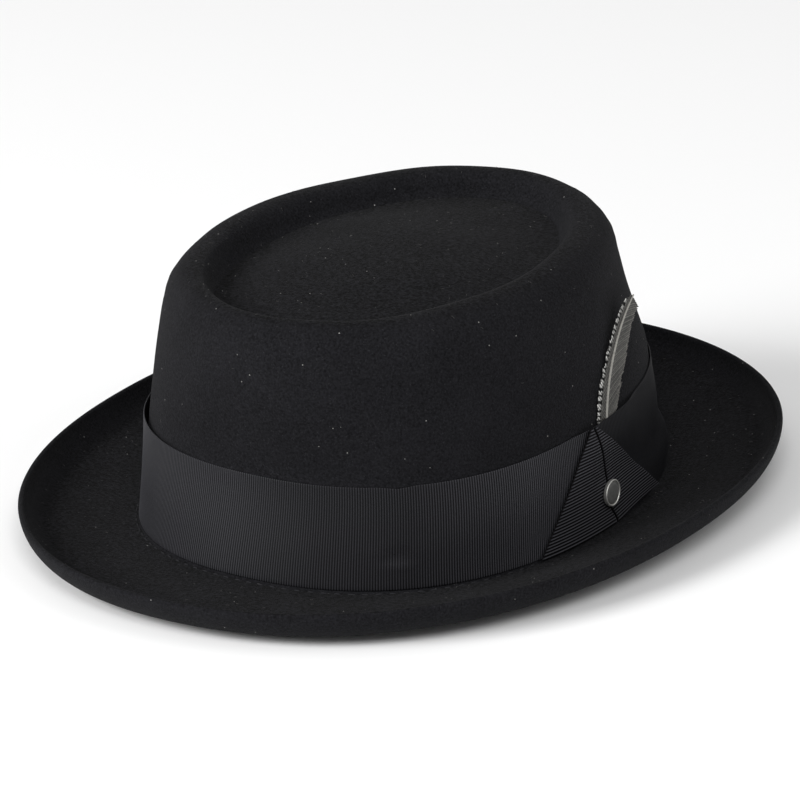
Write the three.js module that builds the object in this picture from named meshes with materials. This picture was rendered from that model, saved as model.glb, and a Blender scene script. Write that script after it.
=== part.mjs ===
// A black wool-felt porkpie hat: one felt body, a grosgrain ribbon round the crown with a folded
// triangle bow, a metal stud on the bow, and two small feathers tucked behind the ribbon.
// Millimetres, +Z up. The hat stands on the flat of its brim at z = 0. Its front faces -Y and the
// wearer's left, where the bow and the feathers are, faces +X. The origin is the middle of the brim.

import * as THREE from 'three';

// Driving dimensions of the felt body
const feltWall = 2.2;
const crownLength = 201;        // felt's middle surface at the crown's foot, front to back
const crownWidth = 171.4;
const crownHeight = 97;         // rest plane to the top of the ridge, at the sides
const ridgeLength = 162.8;      // top of the ridge round the dent, front to back
const ridgeWidth = 126.6;
const ridgeTilt = 4;            // how much higher the ridge is behind than in front
const moatLength = 152;         // lowest line of the dent
const moatWidth = 108.4;
const dentDepth = 9.2;          // ridge down to the moat
const domeRise = 5.5;           // moat up to the middle of the dent
const crownSetback = 3.8;       // the crown's middle lies this far behind the brim's
const brimLength = 298.2;       // over the rolled edge, front to back
const brimWidth = 259.4;
const brimRise = 15.8;          // rest plane to the rolled edge, at the sides
const brimTilt = 6;             // how much higher the edge is behind than in front
const brimSlant = 1.4;          // and on the wearer's left than on the right
const breakRadius = 2.6;        // bend between the crown and the brim
const curlRadius = 10.5;        // bend of the rolled edge
const curlAngle = 85;           // how steep the felt ends, in degrees
const restFlat = 5;             // width of the flat ring that the hat stands on
const edgeRound = 0.5;          // rounding of the felt's cut edge
const edgeNarrow = 0.5;         // its thickness there against the wall's

// Driving dimensions of the trimmings
const clothGap = 0.3;           // between pieces that touch
const ribbonWidth = 39;
const ribbonWall = 1;
const ribbonSeat = 0.9;         // ribbon's lower edge above the brim's upper face
const ribbonTilt = 6;           // how much wider the ribbon shows behind than in front
const ribbonEase = 0.6;         // how far its upper edge stands off the felt, past the gap
const slackReach = 1.4;         // how far it does on the slack stretch before the wearer's right
const slackAngle = -135;        // middle of that stretch, in degrees from the wearer's left
const slackSpread = 18;
const bowReachFront = 38.5;     // wearer's left to the bow's front corner, along the ribbon
const bowReachRear = 33;
const bowHeight = 38.2;
const bowApexShift = -10;       // from the wearer's left, towards the back
const bowFootShift = 3.4;       // where the seam between the two folds ends
const bowApexWidth = 3.4;
const bowCornerRise = 3.8;      // rear corner above the bow's lower edge
const bowCornerLift = 2.6;      // rear corner off the ribbon
const bowEdgeSag = 0.6;         // how far the rear edge runs below a straight line
const bowWall = 1;
const bowSeam = 0.4;            // open line between the two folds
const studDiameter = 9.6;
const studWall = 1.5;
const studRim = 0.45;           // raised edge of the stud
const studHeight = 12.2;        // stud's middle above the ribbon's lower edge
const studShift = -1.1;         // and from the wearer's left, towards the back
const studSides = 24;
const studRise = 0.15;          // its back is flat, so the round of the bow needs this much more
const featherLength = 49.5;      // along the quill, from the ribbon's edge to the tip
const featherShift = 2.3;       // foot of the quill, from the wearer's left
const featherTuck = 5;          // length hidden behind the ribbon
const featherFootLean = 71.7;    // the quill's slope at the ribbon, in degrees
const featherTipLean = 27.5;
const featherBend = 0.8;        // how far the tip curves in towards the crown
const featherCamber = 0.3;      // how far the vanes' edges do
const greyFront = 2.1;          // the grey feather's front vane
const greyRear = 9.8;           // and its rear vane
const greyWall = 0.6;
const barredReach = 4.9;        // each vane of the barred feather below it
const barredWall = 0.5;
const barredShare = 0.97;       // its length against the grey one's
const quillDiameter = 1.3;
const roomStart = 0.5;          // share of the ribbon's width where it starts to make room for them
const roomRise = 0.3;           // and the share over which it does
const featherStrips = 16;
const stripBody = 0.8;          // share of a strip's length that has its full width
const stripNotch = 0.9;         // width of its end against that
const quillNarrowing = 4;       // the quill narrows where a vane has less than one part in this many

const facetsRound = 60;
const flatTolerance = 1e-6;
const angleStep = 0.01;         // for slopes round the wall, in radians
const TURN = 2 * Math.PI;

const felt = new THREE.MeshStandardMaterial({ color: '#17171a', roughness: 0.95, metalness: 0 });
const grosgrain = new THREE.MeshStandardMaterial({ color: '#26262a', roughness: 0.7, metalness: 0 });
const gunmetal = new THREE.MeshStandardMaterial({ color: '#77787a', roughness: 0.35, metalness: 0.9 });
const greyPlume = new THREE.MeshStandardMaterial({ color: '#6b675f', roughness: 0.8, metalness: 0 });
const barredPlume = new THREE.MeshStandardMaterial({ color: '#c9c7c0', roughness: 0.8, metalness: 0 });

const mix = (a, b, share) => a + (b - a) * share;
const within = (share) => Math.min(1, Math.max(0, share));
const radians = THREE.MathUtils.degToRad;

// Rings of the felt's middle surface, from the crown's foot up over the ridge and into the dent.
// Each is a rounded oval, given by its length, width, height, lean (its middle's shift to the
// back), squareness (2 is an ellipse), egg (wider behind), tilt (higher behind) and slant (higher
// on the wearer's left, none where it isn't given).
const halfWall = feltWall / 2;
const footHeight = halfWall + breakRadius;
const ridgeHeight = crownHeight - halfWall;
const taper = (crownLength - ridgeLength) / 2;
const ribbonFoot = feltWall + ribbonSeat;

// along and across are the shares of the taper from the foot to the ridge, up the share of the height
const wallSections = [
  { along: 0.00, across: 0.00, up: 0.00, lean: 0.00, squareness: 2.30 },
  { along: 0.43, across: 0.125, up: 0.41, lean: 0.09, squareness: 2.36 },
  { along: 0.49, across: 0.21, up: 0.58, lean: -0.01, squareness: 2.22 },
  { along: 0.55, across: 0.32, up: 0.74, lean: -0.09, squareness: 2.11 },
  { along: 0.61, across: 0.42, up: 0.86, lean: -0.11, squareness: 2.06 },
  { along: 0.70, across: 0.54, up: 0.945, lean: -0.09, squareness: 2.05 },
  { along: 0.84, across: 0.75, up: 0.99, lean: -0.09, squareness: 2.02 },
  { along: 1.00, across: 1.00, up: 1.00, lean: -0.10, squareness: 1.98 },
];
// inward is the share of the way from the ridge to the moat, down the share of the dent's depth
const dentSections = [
  { inward: 0.22, down: 0.05, lean: -0.13, squareness: 1.94 },
  { inward: 0.45, down: 0.26, lean: -0.18, squareness: 1.98 },
  { inward: 0.72, down: 0.68, lean: -0.22, squareness: 2.05 },
  { inward: 1.00, down: 0.98, lean: -0.24, squareness: 2.10 },
];
// out is the share of the moat's size, rise the share of the dome's
const domeSections = [
  { out: 0.90, rise: 0.04, squareness: 2.08 },
  { out: 0.70, rise: 0.38, squareness: 2.04 },
  { out: 0.38, rise: 0.84, squareness: 2.00 },
];
const crownEgg = -0.02;
const brimEgg = 0.03;
const brimSquareness = 2.15;

const wallRings = wallSections.map((row) => ({
  length: mix(crownLength, ridgeLength, row.along),
  width: mix(crownWidth, ridgeWidth, row.across),
  height: mix(footHeight, ridgeHeight, row.up),
  lean: row.lean * taper,
  squareness: row.squareness,
  egg: crownEgg,
  tilt: ridgeTilt * row.up,
}));
const dentRings = dentSections.map((row) => ({
  length: mix(ridgeLength, moatLength, row.inward),
  width: mix(ridgeWidth, moatWidth, row.inward),
  height: ridgeHeight - dentDepth * row.down,
  lean: row.lean * taper,
  squareness: row.squareness,
  egg: crownEgg,
  tilt: ridgeTilt,
}));
const moatRing = dentRings[dentRings.length - 1];
const edgeRing = {
  length: brimLength,
  width: brimWidth,
  height: brimRise,
  lean: -crownSetback,
  squareness: brimSquareness,
  egg: brimEgg,
  tilt: brimTilt,
  slant: brimSlant,
};
const domeRings = domeSections.map((row) => ({
  ...moatRing,
  length: moatLength * row.out,
  width: moatWidth * row.out,
  height: moatRing.height + domeRise * row.rise,
  squareness: row.squareness,
  tilt: ridgeTilt * row.out,
}));

function ringPoint(ring, angle) {
  const across = Math.abs(Math.cos(angle)) / (ring.width / 2);
  const along = Math.abs(Math.sin(angle)) / (ring.length / 2);
  const reach = (across ** ring.squareness + along ** ring.squareness) ** (-1 / ring.squareness);
  const back = reach * Math.sin(angle) / (ring.length / 2);
  return new THREE.Vector3(
    reach * Math.cos(angle) * (1 + ring.egg * back),
    back * ring.length / 2 + ring.lean + crownSetback,
    ring.height + ring.tilt / 2 * back + (ring.slant ?? 0) / 2 * reach * Math.cos(angle) / (ring.width / 2),
  );
}

// A ring between two rows of the wall, worked out for a height
function wallRing(height) {
  let low = 0;
  while (low < wallRings.length - 2 && wallRings[low + 1].height < height) low += 1;
  const [a, b] = [wallRings[low], wallRings[low + 1]];
  const share = (height - a.height) / (b.height - a.height);
  const ring = {};
  for (const name of Object.keys(a)) ring[name] = mix(a[name], b[name], share);
  return ring;
}

// A point of the crown's wall, moved off the felt's middle surface along the outward normal
function wallPoint(angle, height, offset) {
  const here = ringPoint(wallRing(height), angle);
  const before = ringPoint(wallRing(height), angle - angleStep);
  const round = ringPoint(wallRing(height), angle + angleStep).sub(before);
  const upward = ringPoint(wallRing(height + 1), angle).sub(here);
  const normal = round.cross(upward).normalize();
  return here.addScaledVector(normal, offset);
}

// The angle at which an arc round the wall, from the wearer's left, has a given length
function arcAngle(arc, height, offset) {
  const ring = wallRing(height);
  ring.length += 2 * offset;
  ring.width += 2 * offset;
  const step = radians(1) * Math.sign(arc);
  let angle = 0;
  let walked = 0;
  while (arc !== 0) {
    const length = ringPoint(ring, angle).distanceTo(ringPoint(ring, angle + step));
    if (walked + length >= Math.abs(arc)) return angle + step * (Math.abs(arc) - walked) / length;
    walked += length;
    angle += step;
  }
  return angle;
}

// The brim at one angle, as steps away from the crown's foot: round the break, along the flat
// ring, up the slope and round the rolled edge. Each step has its distance out and its height.
function brimSteps(angle) {
  const foot = ringPoint(wallRings[0], angle);
  const edge = ringPoint(edgeRing, angle);
  const span = Math.hypot(edge.x - foot.x, edge.y - foot.y);
  const steps = [0, 30, 60, 90].map(radians).map((turn) => ({
    out: breakRadius * (1 - Math.cos(turn)),
    height: footHeight - breakRadius * Math.sin(turn),
  }));
  const flatEnd = { out: breakRadius + restFlat, height: halfWall };
  const end = radians(curlAngle);
  const middle = {
    out: span - halfWall - curlRadius * Math.sin(end),
    height: edge.z + curlRadius * Math.cos(end),
  };
  const away = { out: middle.out - flatEnd.out, height: middle.height - flatEnd.height };
  const start = Math.atan2(away.height, away.out) - Math.asin(curlRadius / Math.hypot(away.out, away.height));
  const curl = [0, 0.25, 0.5, 0.75, 1].map((share) => mix(start, end, share)).map((turn) => ({
    out: middle.out + curlRadius * Math.sin(turn),
    height: middle.height - curlRadius * Math.cos(turn),
  }));
  const slope = [0, 0.33, 0.67].map((share) => ({
    out: mix(flatEnd.out, curl[0].out, share),
    height: mix(flatEnd.height, curl[0].height, share),
  }));
  return [...steps, ...slope, ...curl].map((step) => new THREE.Vector3(
    mix(foot.x, edge.x, step.out / span),
    mix(foot.y, edge.y, step.out / span),
    step.height,
  ));
}

// A closed solid between two grids of points with the same rows and columns. Seen from outside
// the front grid, columns run anticlockwise round the rows' direction of travel.
function sheetSolid(front, back, { closed = false, poles = [] } = {}) {
  const rows = front.length;
  const columns = front[0].length;
  const points = [...front.flat(), ...back.flat(), ...poles];
  const faces = [];
  const frontAt = (i, j) => i * columns + j % columns;
  const backAt = (i, j) => rows * columns + frontAt(i, j);
  const quad = (a, b, c, d) => faces.push(a, b, c, a, c, d);
  const around = closed ? columns : columns - 1;
  for (let i = 0; i < rows - 1; i += 1) {
    for (let j = 0; j < around; j += 1) {
      quad(frontAt(i, j), frontAt(i, j + 1), frontAt(i + 1, j + 1), frontAt(i + 1, j));
      quad(backAt(i, j), backAt(i + 1, j), backAt(i + 1, j + 1), backAt(i, j + 1));
    }
    if (!closed) {
      quad(frontAt(i, 0), frontAt(i + 1, 0), backAt(i + 1, 0), backAt(i, 0));
      quad(frontAt(i, around), backAt(i, around), backAt(i + 1, around), frontAt(i + 1, around));
    }
  }
  const last = rows - 1;
  const [frontPole, backPole] = [points.length - 2, points.length - 1];
  for (let j = 0; j < around; j += 1) {
    quad(frontAt(0, j), backAt(0, j), backAt(0, j + 1), frontAt(0, j + 1));
    if (poles.length === 2) {
      faces.push(frontAt(last, j), frontAt(last, j + 1), frontPole);
      faces.push(backAt(last, j + 1), backAt(last, j), backPole);
    } else {
      quad(frontAt(last, j), frontAt(last, j + 1), backAt(last, j + 1), backAt(last, j));
    }
  }
  const geometry = new THREE.BufferGeometry();
  geometry.setAttribute('position', new THREE.Float32BufferAttribute(points.flatMap((p) => p.toArray()), 3));
  geometry.setIndex(faces);
  geometry.computeVertexNormals();
  return geometry;
}

const grid = (rows, columns, place) => Array.from({ length: rows }, (_, i) => (
  Array.from({ length: columns }, (_, j) => place(i, j))
));

const roundAngles = Array.from({ length: facetsRound }, (_, j) => TURN * j / facetsRound);

// The felt body: one sheet from the rolled edge in to the crown's foot, up the wall, over the
// ridge and down into the dent
function feltBody() {
  const columns = roundAngles.map((angle) => [
    ...brimSteps(angle).reverse(),
    ...[...wallRings.slice(1), ...dentRings, ...domeRings].map((ring) => ringPoint(ring, angle)),
  ]);
  const rows = columns[0].length;
  const centre = ringPoint(domeRings[0], 0);
  centre.set(0, crownSetback + moatRing.lean, moatRing.height + domeRise);
  const middle = (i, j) => (i < rows ? columns[(j + facetsRound) % facetsRound][i] : centre);
  const normal = (i, j) => {
    if (Math.abs(middle(i, j).z - halfWall) < flatTolerance) return new THREE.Vector3(0, 0, 1);
    const round = middle(i, j + 1).clone().sub(middle(i, j - 1));
    const inward = middle(i + 1, j).clone().sub(middle(Math.max(i - 1, 0), j));
    return round.cross(inward).normalize();
  };
  const side = (offset) => grid(rows, facetsRound, (i, j) => middle(i, j).clone().addScaledVector(normal(i, j), offset));
  const front = side(halfWall);
  const back = side(-halfWall);
  // the cut edge of the felt is rounded by one more row, thinner and a little higher
  const lip = (offset) => roundAngles.map((_, j) => {
    const outward = middle(0, j).clone().sub(middle(1, j)).normalize();
    return middle(0, j).clone().addScaledVector(normal(0, j), offset).addScaledVector(outward, edgeRound);
  });
  front.unshift(lip(halfWall * edgeNarrow));
  back.unshift(lip(-halfWall * edgeNarrow));
  const poles = [halfWall, -halfWall].map((offset) => centre.clone().setZ(centre.z + offset));
  return sheetSolid(front, back, { closed: true, poles });
}

// How far the ribbon's inner face lies off the felt's middle surface. Its upper edge stands off a
// little all round, more on a slack stretch, and most where the feathers are tucked in behind it.
const featherWidth = barredReach + greyRear;
const featherMiddle = featherShift + (greyRear - barredReach) / 2;
const featherRoom = barredWall + clothGap + greyWall + clothGap;
function ribbonOffset(angle, height) {
  const share = within((height - ribbonFoot) / ribbonWidth);
  const slack = slackReach * Math.exp(-(((angle - radians(slackAngle)) / radians(slackSpread)) ** 2));
  const arc = angle * (crownLength + crownWidth) / 4;
  const beside = (Math.abs(arc - featherMiddle) - featherWidth) / (featherWidth / 2);
  const room = featherRoom * within(1 - beside) * within((share - roomStart) / roomRise);
  return halfWall + clothGap + (ribbonEase + slack) * share * share + room;
}

// The same for what lies on the ribbon, clear of the facet that it has at this angle
function ribbonReach(angle, height) {
  const facet = TURN / facetsRound;
  const before = Math.floor(angle / facet) * facet;
  return Math.max(ribbonOffset(before, height), ribbonOffset(before + facet, height)) + ribbonWall;
}

function ribbonBand() {
  const shares = [0, 0.25, 0.5, 0.65, 0.8, 1];
  const side = (extra) => grid(shares.length, facetsRound, (i, j) => {
    const angle = roundAngles[j] > TURN / 2 ? roundAngles[j] - TURN : roundAngles[j];
    const width = ribbonWidth + ribbonTilt / 2 * Math.sin(angle);
    const height = ribbonFoot + width * shares[i];
    return wallPoint(angle, height, ribbonOffset(angle, height) + extra);
  });
  return sheetSolid(side(ribbonWall), side(0), { closed: true });
}

// One fold of the bow, between four corners. Each corner has its arc from the wearer's left and its
// height above the ribbon's lower edge. lift moves its rear foot off the ribbon, and sag hollows
// its rear edge.
function bowFold({ apexFront, apexRear, footFront, footRear, lift = 0, sag = 0 }) {
  const rows = 9;
  const columns = 7;
  const side = (extra) => grid(rows, columns, (i, j) => {
    const up = i / (rows - 1);
    const across = j / (columns - 1);
    const low = [0, 1].map((k) => mix(footFront[k], footRear[k], across));
    const high = [0, 1].map((k) => mix(apexFront[k], apexRear[k], across));
    const hollow = sag * across * 4 * up * (1 - up);
    const height = ribbonFoot + mix(low[1], high[1], up) - hollow;
    const offset = clothGap + lift * (1 - up) * across ** 3 + extra;
    const angle = arcAngle(mix(low[0], high[0], up), height, halfWall + ribbonWall);
    return wallPoint(angle, height, ribbonReach(angle, height) + offset);
  });
  return sheetSolid(side(bowWall), side(0));
}

// The stud is a disc with a raised edge, turned about its own axis
function studDisc() {
  const radius = studDiameter / 2;
  const profile = [
    { out: 0, up: 0 },
    { out: radius - studRim, up: 0 },
    { out: radius, up: studRim },
    { out: radius, up: studWall },
    { out: radius - studRim, up: studWall + studRim },
    { out: radius - 2 * studRim, up: studWall + studRim },
    { out: radius - 3 * studRim, up: studWall },
    { out: 0, up: studWall },
  ];
  return new THREE.LatheGeometry(profile.map((row) => new THREE.Vector2(row.out, row.up)), studSides);
}

// Width of a feather's two vanes, as shares of their full widths, from the ribbon's edge to the tip
const vaneSections = [
  { along: 0.00, front: 1.00, rear: 0.70 },
  { along: 0.30, front: 0.80, rear: 0.95 },
  { along: 0.55, front: 0.57, rear: 0.93 },
  { along: 0.88, front: 0.52, rear: 0.67 },
  { along: 0.97, front: 0.33, rear: 0.45 },
  { along: 1.00, front: 0.10, rear: 0.06 },
];
function vaneShare(along, name) {
  const share = within(along);
  const next = Math.max(1, vaneSections.findIndex((row) => row.along >= share));
  const [a, b] = [vaneSections[next - 1], vaneSections[next]];
  return mix(a[name], b[name], (share - a.along) / (b.along - a.along));
}

// A feather lies flat against the crown at its foot and goes on in the same plane, so that its tip
// stands off. Its quill is an arc in that plane. Its vanes are strips side by side, each a little
// wider where it starts, fused along the quill.
const footTop = ribbonFoot + ribbonWidth;
const footAngle = arcAngle(featherShift, footTop, halfWall);
const footPoint = wallPoint(footAngle, footTop, 0);
const footBefore = wallPoint(footAngle - angleStep, footTop, 0);
const footRound = wallPoint(footAngle + angleStep, footTop, 0).sub(footBefore).normalize();
const footUp = footPoint.clone().sub(wallPoint(footAngle, footTop - 1, 0)).normalize();
const footOut = footRound.clone().cross(footUp).normalize();

function feather({ front, rear, wall, layer, length, quill }) {
  const turn = radians(featherFootLean - featherTipLean);
  const radius = featherLength / turn;
  const rows = [-featherTuck / length];
  for (let k = 0; k < featherStrips; k += 1) rows.push(k / featherStrips, (k + stripBody) / featherStrips);
  rows.push(1);
  const half = quillDiameter / 2;
  const columns = [-front, -(front + half) / 2, -half, 0, half, (rear + half) / 2, rear];
  const side = (outer) => grid(rows.length, columns.length, (i, j) => {
    const share = rows[i];
    const notch = i > 0 && i % 2 === 0 ? stripNotch : 1;
    const vane = vaneShare(share, columns[j] < 0 ? 'front' : 'rear') * notch;
    const sideways = columns[j] * (Math.abs(columns[j]) > half ? vane : Math.min(1, quillNarrowing * vane));
    const slope = radians(featherFootLean) - share * length / radius;
    const back = radius * (Math.sin(radians(featherFootLean)) - Math.sin(slope)) + sideways * Math.sin(slope);
    const up = radius * (Math.cos(slope) - Math.cos(radians(featherFootLean))) - sideways * Math.cos(slope);
    const bend = featherBend * Math.max(0, share) ** 2 + featherCamber * (sideways / featherWidth) ** 2;
    const ridge = columns[j] === 0 ? quill * within(share * featherStrips) : 0;
    const off = halfWall + clothGap + layer - bend + outer * (wall + ridge);
    return footPoint.clone().addScaledVector(footRound, back).addScaledVector(footUp, up)
      .addScaledVector(footOut, off);
  });
  return sheetSolid(side(1), side(0));
}

const hat = new THREE.Group();
function add(name, geometry, material) {
  const mesh = new THREE.Mesh(geometry, material);
  mesh.name = name;
  hat.add(mesh);
  return mesh;
}

add('felt_body', feltBody(), felt);
add('ribbon_band', ribbonBand(), grosgrain);
add('bow_fold_front', bowFold({
  apexFront: [bowApexShift - bowApexWidth / 2, bowHeight],
  apexRear: [bowApexShift - bowSeam / 2, bowHeight],
  footFront: [-bowReachFront, 0],
  footRear: [bowFootShift - bowSeam / 2, 0],
}), grosgrain);
add('bow_fold_rear', bowFold({
  apexFront: [bowApexShift + bowSeam / 2, bowHeight],
  apexRear: [bowApexShift + bowApexWidth / 2, bowHeight],
  footFront: [bowFootShift + bowSeam / 2, 0],
  footRear: [bowReachRear, bowCornerRise],
  lift: bowCornerLift,
  sag: bowEdgeSag,
}), grosgrain);

// The stud lies on the bow, over the line where the folds meet
const studBase = ribbonFoot + studHeight;
const stud = add('stud_button', studDisc(), gunmetal);
const studAngle = arcAngle(studShift, studBase, halfWall + ribbonWall);
const studOffset = ribbonReach(studAngle, studBase) + clothGap + bowWall + clothGap + studRise;
stud.position.copy(wallPoint(studAngle, studBase, studOffset));
const studAxis = wallPoint(studAngle, studBase, studOffset + 1).sub(stud.position).normalize();
stud.quaternion.setFromUnitVectors(new THREE.Vector3(0, 1, 0), studAxis);

add('feather_barred', feather({
  front: barredReach, rear: barredReach, wall: barredWall, layer: 0, length: featherLength * barredShare, quill: 0,
}), barredPlume);
add('feather_grey', feather({
  front: greyFront, rear: greyRear, wall: greyWall, layer: barredWall + clothGap,
  length: featherLength, quill: quillDiameter - greyWall,
}), greyPlume);

export default hat;
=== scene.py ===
# %% [markdown]
# # A black felt porkpie hat
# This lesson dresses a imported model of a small-brimmed felt hat. The real hat is a cone of wool felt, steamed
# and pulled over a wooden block, with a grosgrain ribbon sewn round the crown, a folded bow, a stud and two
# feathers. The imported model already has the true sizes, so every surface here is worked out again from the
# same few sizes, only finer, and lies in the same place. Lengths in the formulas are millimetres, and the
# meshes are in metres.

import bpy
import numpy as np
from mathutils import Matrix


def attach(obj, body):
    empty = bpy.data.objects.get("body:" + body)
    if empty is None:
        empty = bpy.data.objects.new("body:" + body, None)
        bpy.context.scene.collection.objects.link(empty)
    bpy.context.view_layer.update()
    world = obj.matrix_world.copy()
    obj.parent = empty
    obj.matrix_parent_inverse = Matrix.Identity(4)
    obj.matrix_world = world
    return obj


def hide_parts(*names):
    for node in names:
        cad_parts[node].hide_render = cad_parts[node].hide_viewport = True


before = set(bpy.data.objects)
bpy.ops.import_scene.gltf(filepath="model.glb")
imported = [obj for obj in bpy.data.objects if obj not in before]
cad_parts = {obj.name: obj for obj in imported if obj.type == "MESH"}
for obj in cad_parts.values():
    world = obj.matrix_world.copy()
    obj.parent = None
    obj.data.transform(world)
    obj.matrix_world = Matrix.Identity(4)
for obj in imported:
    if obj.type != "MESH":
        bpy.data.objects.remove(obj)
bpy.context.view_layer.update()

MM = 0.001
rng = np.random.default_rng(7)
print("packed nodes:", sorted(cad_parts))

# %% [markdown]
# ## Camera
# The hat was seen from a little above, from its front left corner, through a long lens. A long lens keeps
# both sides of the brim in proportion. It could be aimed with a constraint, but three unit vectors say the
# same thing plainly: one points from the hat back to the camera, one to the right of the picture and one up
# it. The lamps are aimed by the same function later.

# %% Aiming
def unit(vectors):
    """Vectors of length 1 that point the same way."""
    return vectors / np.linalg.norm(vectors, axis=-1, keepdims=True)


def aim(thing, place, target, upward=(0, 0, 1)):
    """Puts a camera or a lamp at a place and turns it to face a target, its top towards upward. Both look
    along their own -Z, so their +Z points from the target back to the place."""
    away = unit(place - target)
    right = unit(np.cross(upward, away))
    turn = np.column_stack([right, np.cross(away, right), away])
    thing.matrix_world = Matrix.Translation(place * MM) @ Matrix(turn.tolist()).to_4x4()
    bpy.context.scene.collection.objects.link(thing)


# %% The camera
AZIMUTH, ELEVATION, ROLL = np.radians([35.45, 20.76, -2.65])
EYE_DISTANCE = 2000
HAT_MIDDLE = np.array([0, 3.8, 43.1])
AIM_RIGHT, AIM_UP = -0.63, -7.44
LENS, SENSOR = 247.6, 36

backward = np.array([np.sin(AZIMUTH) * np.cos(ELEVATION), -np.cos(AZIMUTH) * np.cos(ELEVATION),
                     np.sin(ELEVATION)])
level = np.array([np.cos(AZIMUTH), np.sin(AZIMUTH), 0])
upward = np.cross(backward, level)
picture_right = level * np.cos(ROLL) + upward * np.sin(ROLL)
picture_up = upward * np.cos(ROLL) - level * np.sin(ROLL)
eye = HAT_MIDDLE + EYE_DISTANCE * backward

camera = bpy.data.objects.new("camera", bpy.data.cameras.new("camera"))
camera.data.lens = LENS
camera.data.sensor_width = SENSOR
aim(camera, eye, HAT_MIDDLE + AIM_RIGHT * picture_right + AIM_UP * picture_up, picture_up)
bpy.context.scene.camera = camera
print("camera at", np.round(eye), "mm")

# %% [markdown]
# ## Helpers for meshes
# A surface is a grid of points, rows by columns, computed as whole arrays. A cloth piece needs two such
# grids, its outer and its inner face, with walls between them along the open edges, so that the result is one
# closed body. A round piece needs one, whose first and last rows close to a point. Writing this once keeps
# each piece below down to its formula.

# %% Grids to meshes
def grid_faces(rows, columns, closed=False, first=0):
    """Quads of a grid. Each joins a point to the next one along its row, and both to the row after. A closed
    grid also joins its last column to its first."""
    i = np.arange(rows - 1)[:, None]
    j = np.arange(columns if closed else columns - 1)[None, :]
    k = (j + 1) % columns
    corners = (i * columns + j, i * columns + k, (i + 1) * columns + k, (i + 1) * columns + j)
    return np.stack(np.broadcast_arrays(*corners), axis=-1).reshape(-1, 4) + first


def strip_faces(low, high, closed=False):
    """Quads between two lines of point numbers of the same length."""
    if closed:
        low, high = np.append(low, low[0]), np.append(high, high[0])
    return np.stack([low[:-1], low[1:], high[1:], high[:-1]], axis=-1)


def shell(front, back, closed=False):
    """Points and quads of a closed body between two grids of the same shape. Seen from outside the front
    grid, columns run to the right and rows run up."""
    rows, columns = front.shape[:2]
    outer = np.arange(rows * columns).reshape(rows, columns)
    inner = outer + rows * columns
    faces = [grid_faces(rows, columns, closed), grid_faces(rows, columns, closed, rows * columns)[:, ::-1],
             strip_faces(inner[0], outer[0], closed), strip_faces(outer[-1], inner[-1], closed)]
    if not closed:
        faces += [strip_faces(outer[:, 0], inner[:, 0]), strip_faces(inner[:, -1], outer[:, -1])]
    return np.concatenate([front.reshape(-1, 3), back.reshape(-1, 3)]), np.concatenate(faces)


def capped(grid, first_pole, last_pole):
    """Points, quads and triangles of a closed grid whose first and last rows each close to a pole. Seen from
    outside, columns run to the right and rows run up. A stack of grids, with a pole each, gives as many
    bodies."""
    rows, columns = grid.shape[-3:-1]
    bodies = grid.reshape(-1, rows * columns, 3)
    bodies = np.concatenate([bodies, first_pole.reshape(-1, 1, 3), last_pole.reshape(-1, 1, 3)], axis=1)
    row = np.arange(columns)
    after, top, pole = np.roll(row, -1), (rows - 1) * columns, np.full(columns, rows * columns)
    caps = np.concatenate([np.stack([after, row, pole], axis=1),
                           np.stack([top + row, top + after, pole + 1], axis=1)])
    first = bodies.shape[1] * np.arange(len(bodies))[:, None, None]
    quads = grid_faces(rows, columns, closed=True) + first
    return bodies.reshape(-1, 3), quads.reshape(-1, 4), (caps + first).reshape(-1, 3)


def mesh_object(name, points, polygons, material):
    """An object at the origin, from points in millimetres and lists of point numbers."""
    mesh = bpy.data.meshes.new(name)
    mesh.from_pydata((np.asarray(points) * MM).tolist(), [], polygons)
    mesh.materials.append(material)
    thing = bpy.data.objects.new(name, mesh)
    bpy.context.scene.collection.objects.link(thing)
    return thing


def new_piece(name, points, quads, material, node, triangles=()):
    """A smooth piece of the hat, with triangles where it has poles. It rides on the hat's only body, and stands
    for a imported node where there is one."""
    polygons = [*quads.tolist(), *np.asarray(triangles).tolist()]
    piece = mesh_object(name, points, polygons, material)
    piece.data.polygons.foreach_set("use_smooth", np.ones(len(polygons), dtype=bool))
    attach(piece, "root")
    if node:
        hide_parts(node)
    print(f"{name}: {len(points)} points, {2 * len(quads) + len(triangles)} triangles")
    return piece


def paint(piece, name, values):
    """Stores one number for each point of a piece, for its material to read."""
    layer = piece.data.attributes.new(name, "FLOAT", "POINT")
    layer.data.foreach_set("value", np.asarray(values, dtype=np.float32).ravel())


# %% [markdown]
# A few short formulas come up again and again, so each gets a name.

# %% Small formulas
def mix(a, b, share):
    """The value that lies a share of the way from a to b."""
    return a + (b - a) * share


def ease(share):
    """A step from 0 to 1 that starts and ends level."""
    share = np.clip(share, 0, 1)
    return share * share * (3 - 2 * share)


def bell(distance, spread):
    """A bell curve: 1 in its middle, and e to the power -1 at its spread."""
    return np.exp(-(distance / spread) ** 2)


def full_turn(count):
    """Angles of a full turn in equal steps. The last step leads back to the first angle."""
    return np.arange(count) * 2 * np.pi / count


def walk(points):
    """Lengths walked along a line of points, from the first to each."""
    return np.append(0, np.cumsum(np.linalg.norm(np.diff(points, axis=0), axis=1)))


# %% [markdown]
# ## Helpers for materials
# Colours are picked as the eye sees them, as sRGB hex codes, but light adds up in linear numbers, so one
# function turns the first into the second. Another adds a node with its settings and its links, and that is
# all that the materials need.

# %% Colours and nodes
def colour(code):
    """Linear red, green, blue and alpha of an sRGB hex code: a straight line near black, and a power above
    it."""
    share = np.array([int(code[k:k + 2], 16) for k in (1, 3, 5)]) / 255
    return (*np.where(share <= 0.04045, share / 12.92, ((share + 0.055) / 1.055) ** 2.4), 1)


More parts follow.
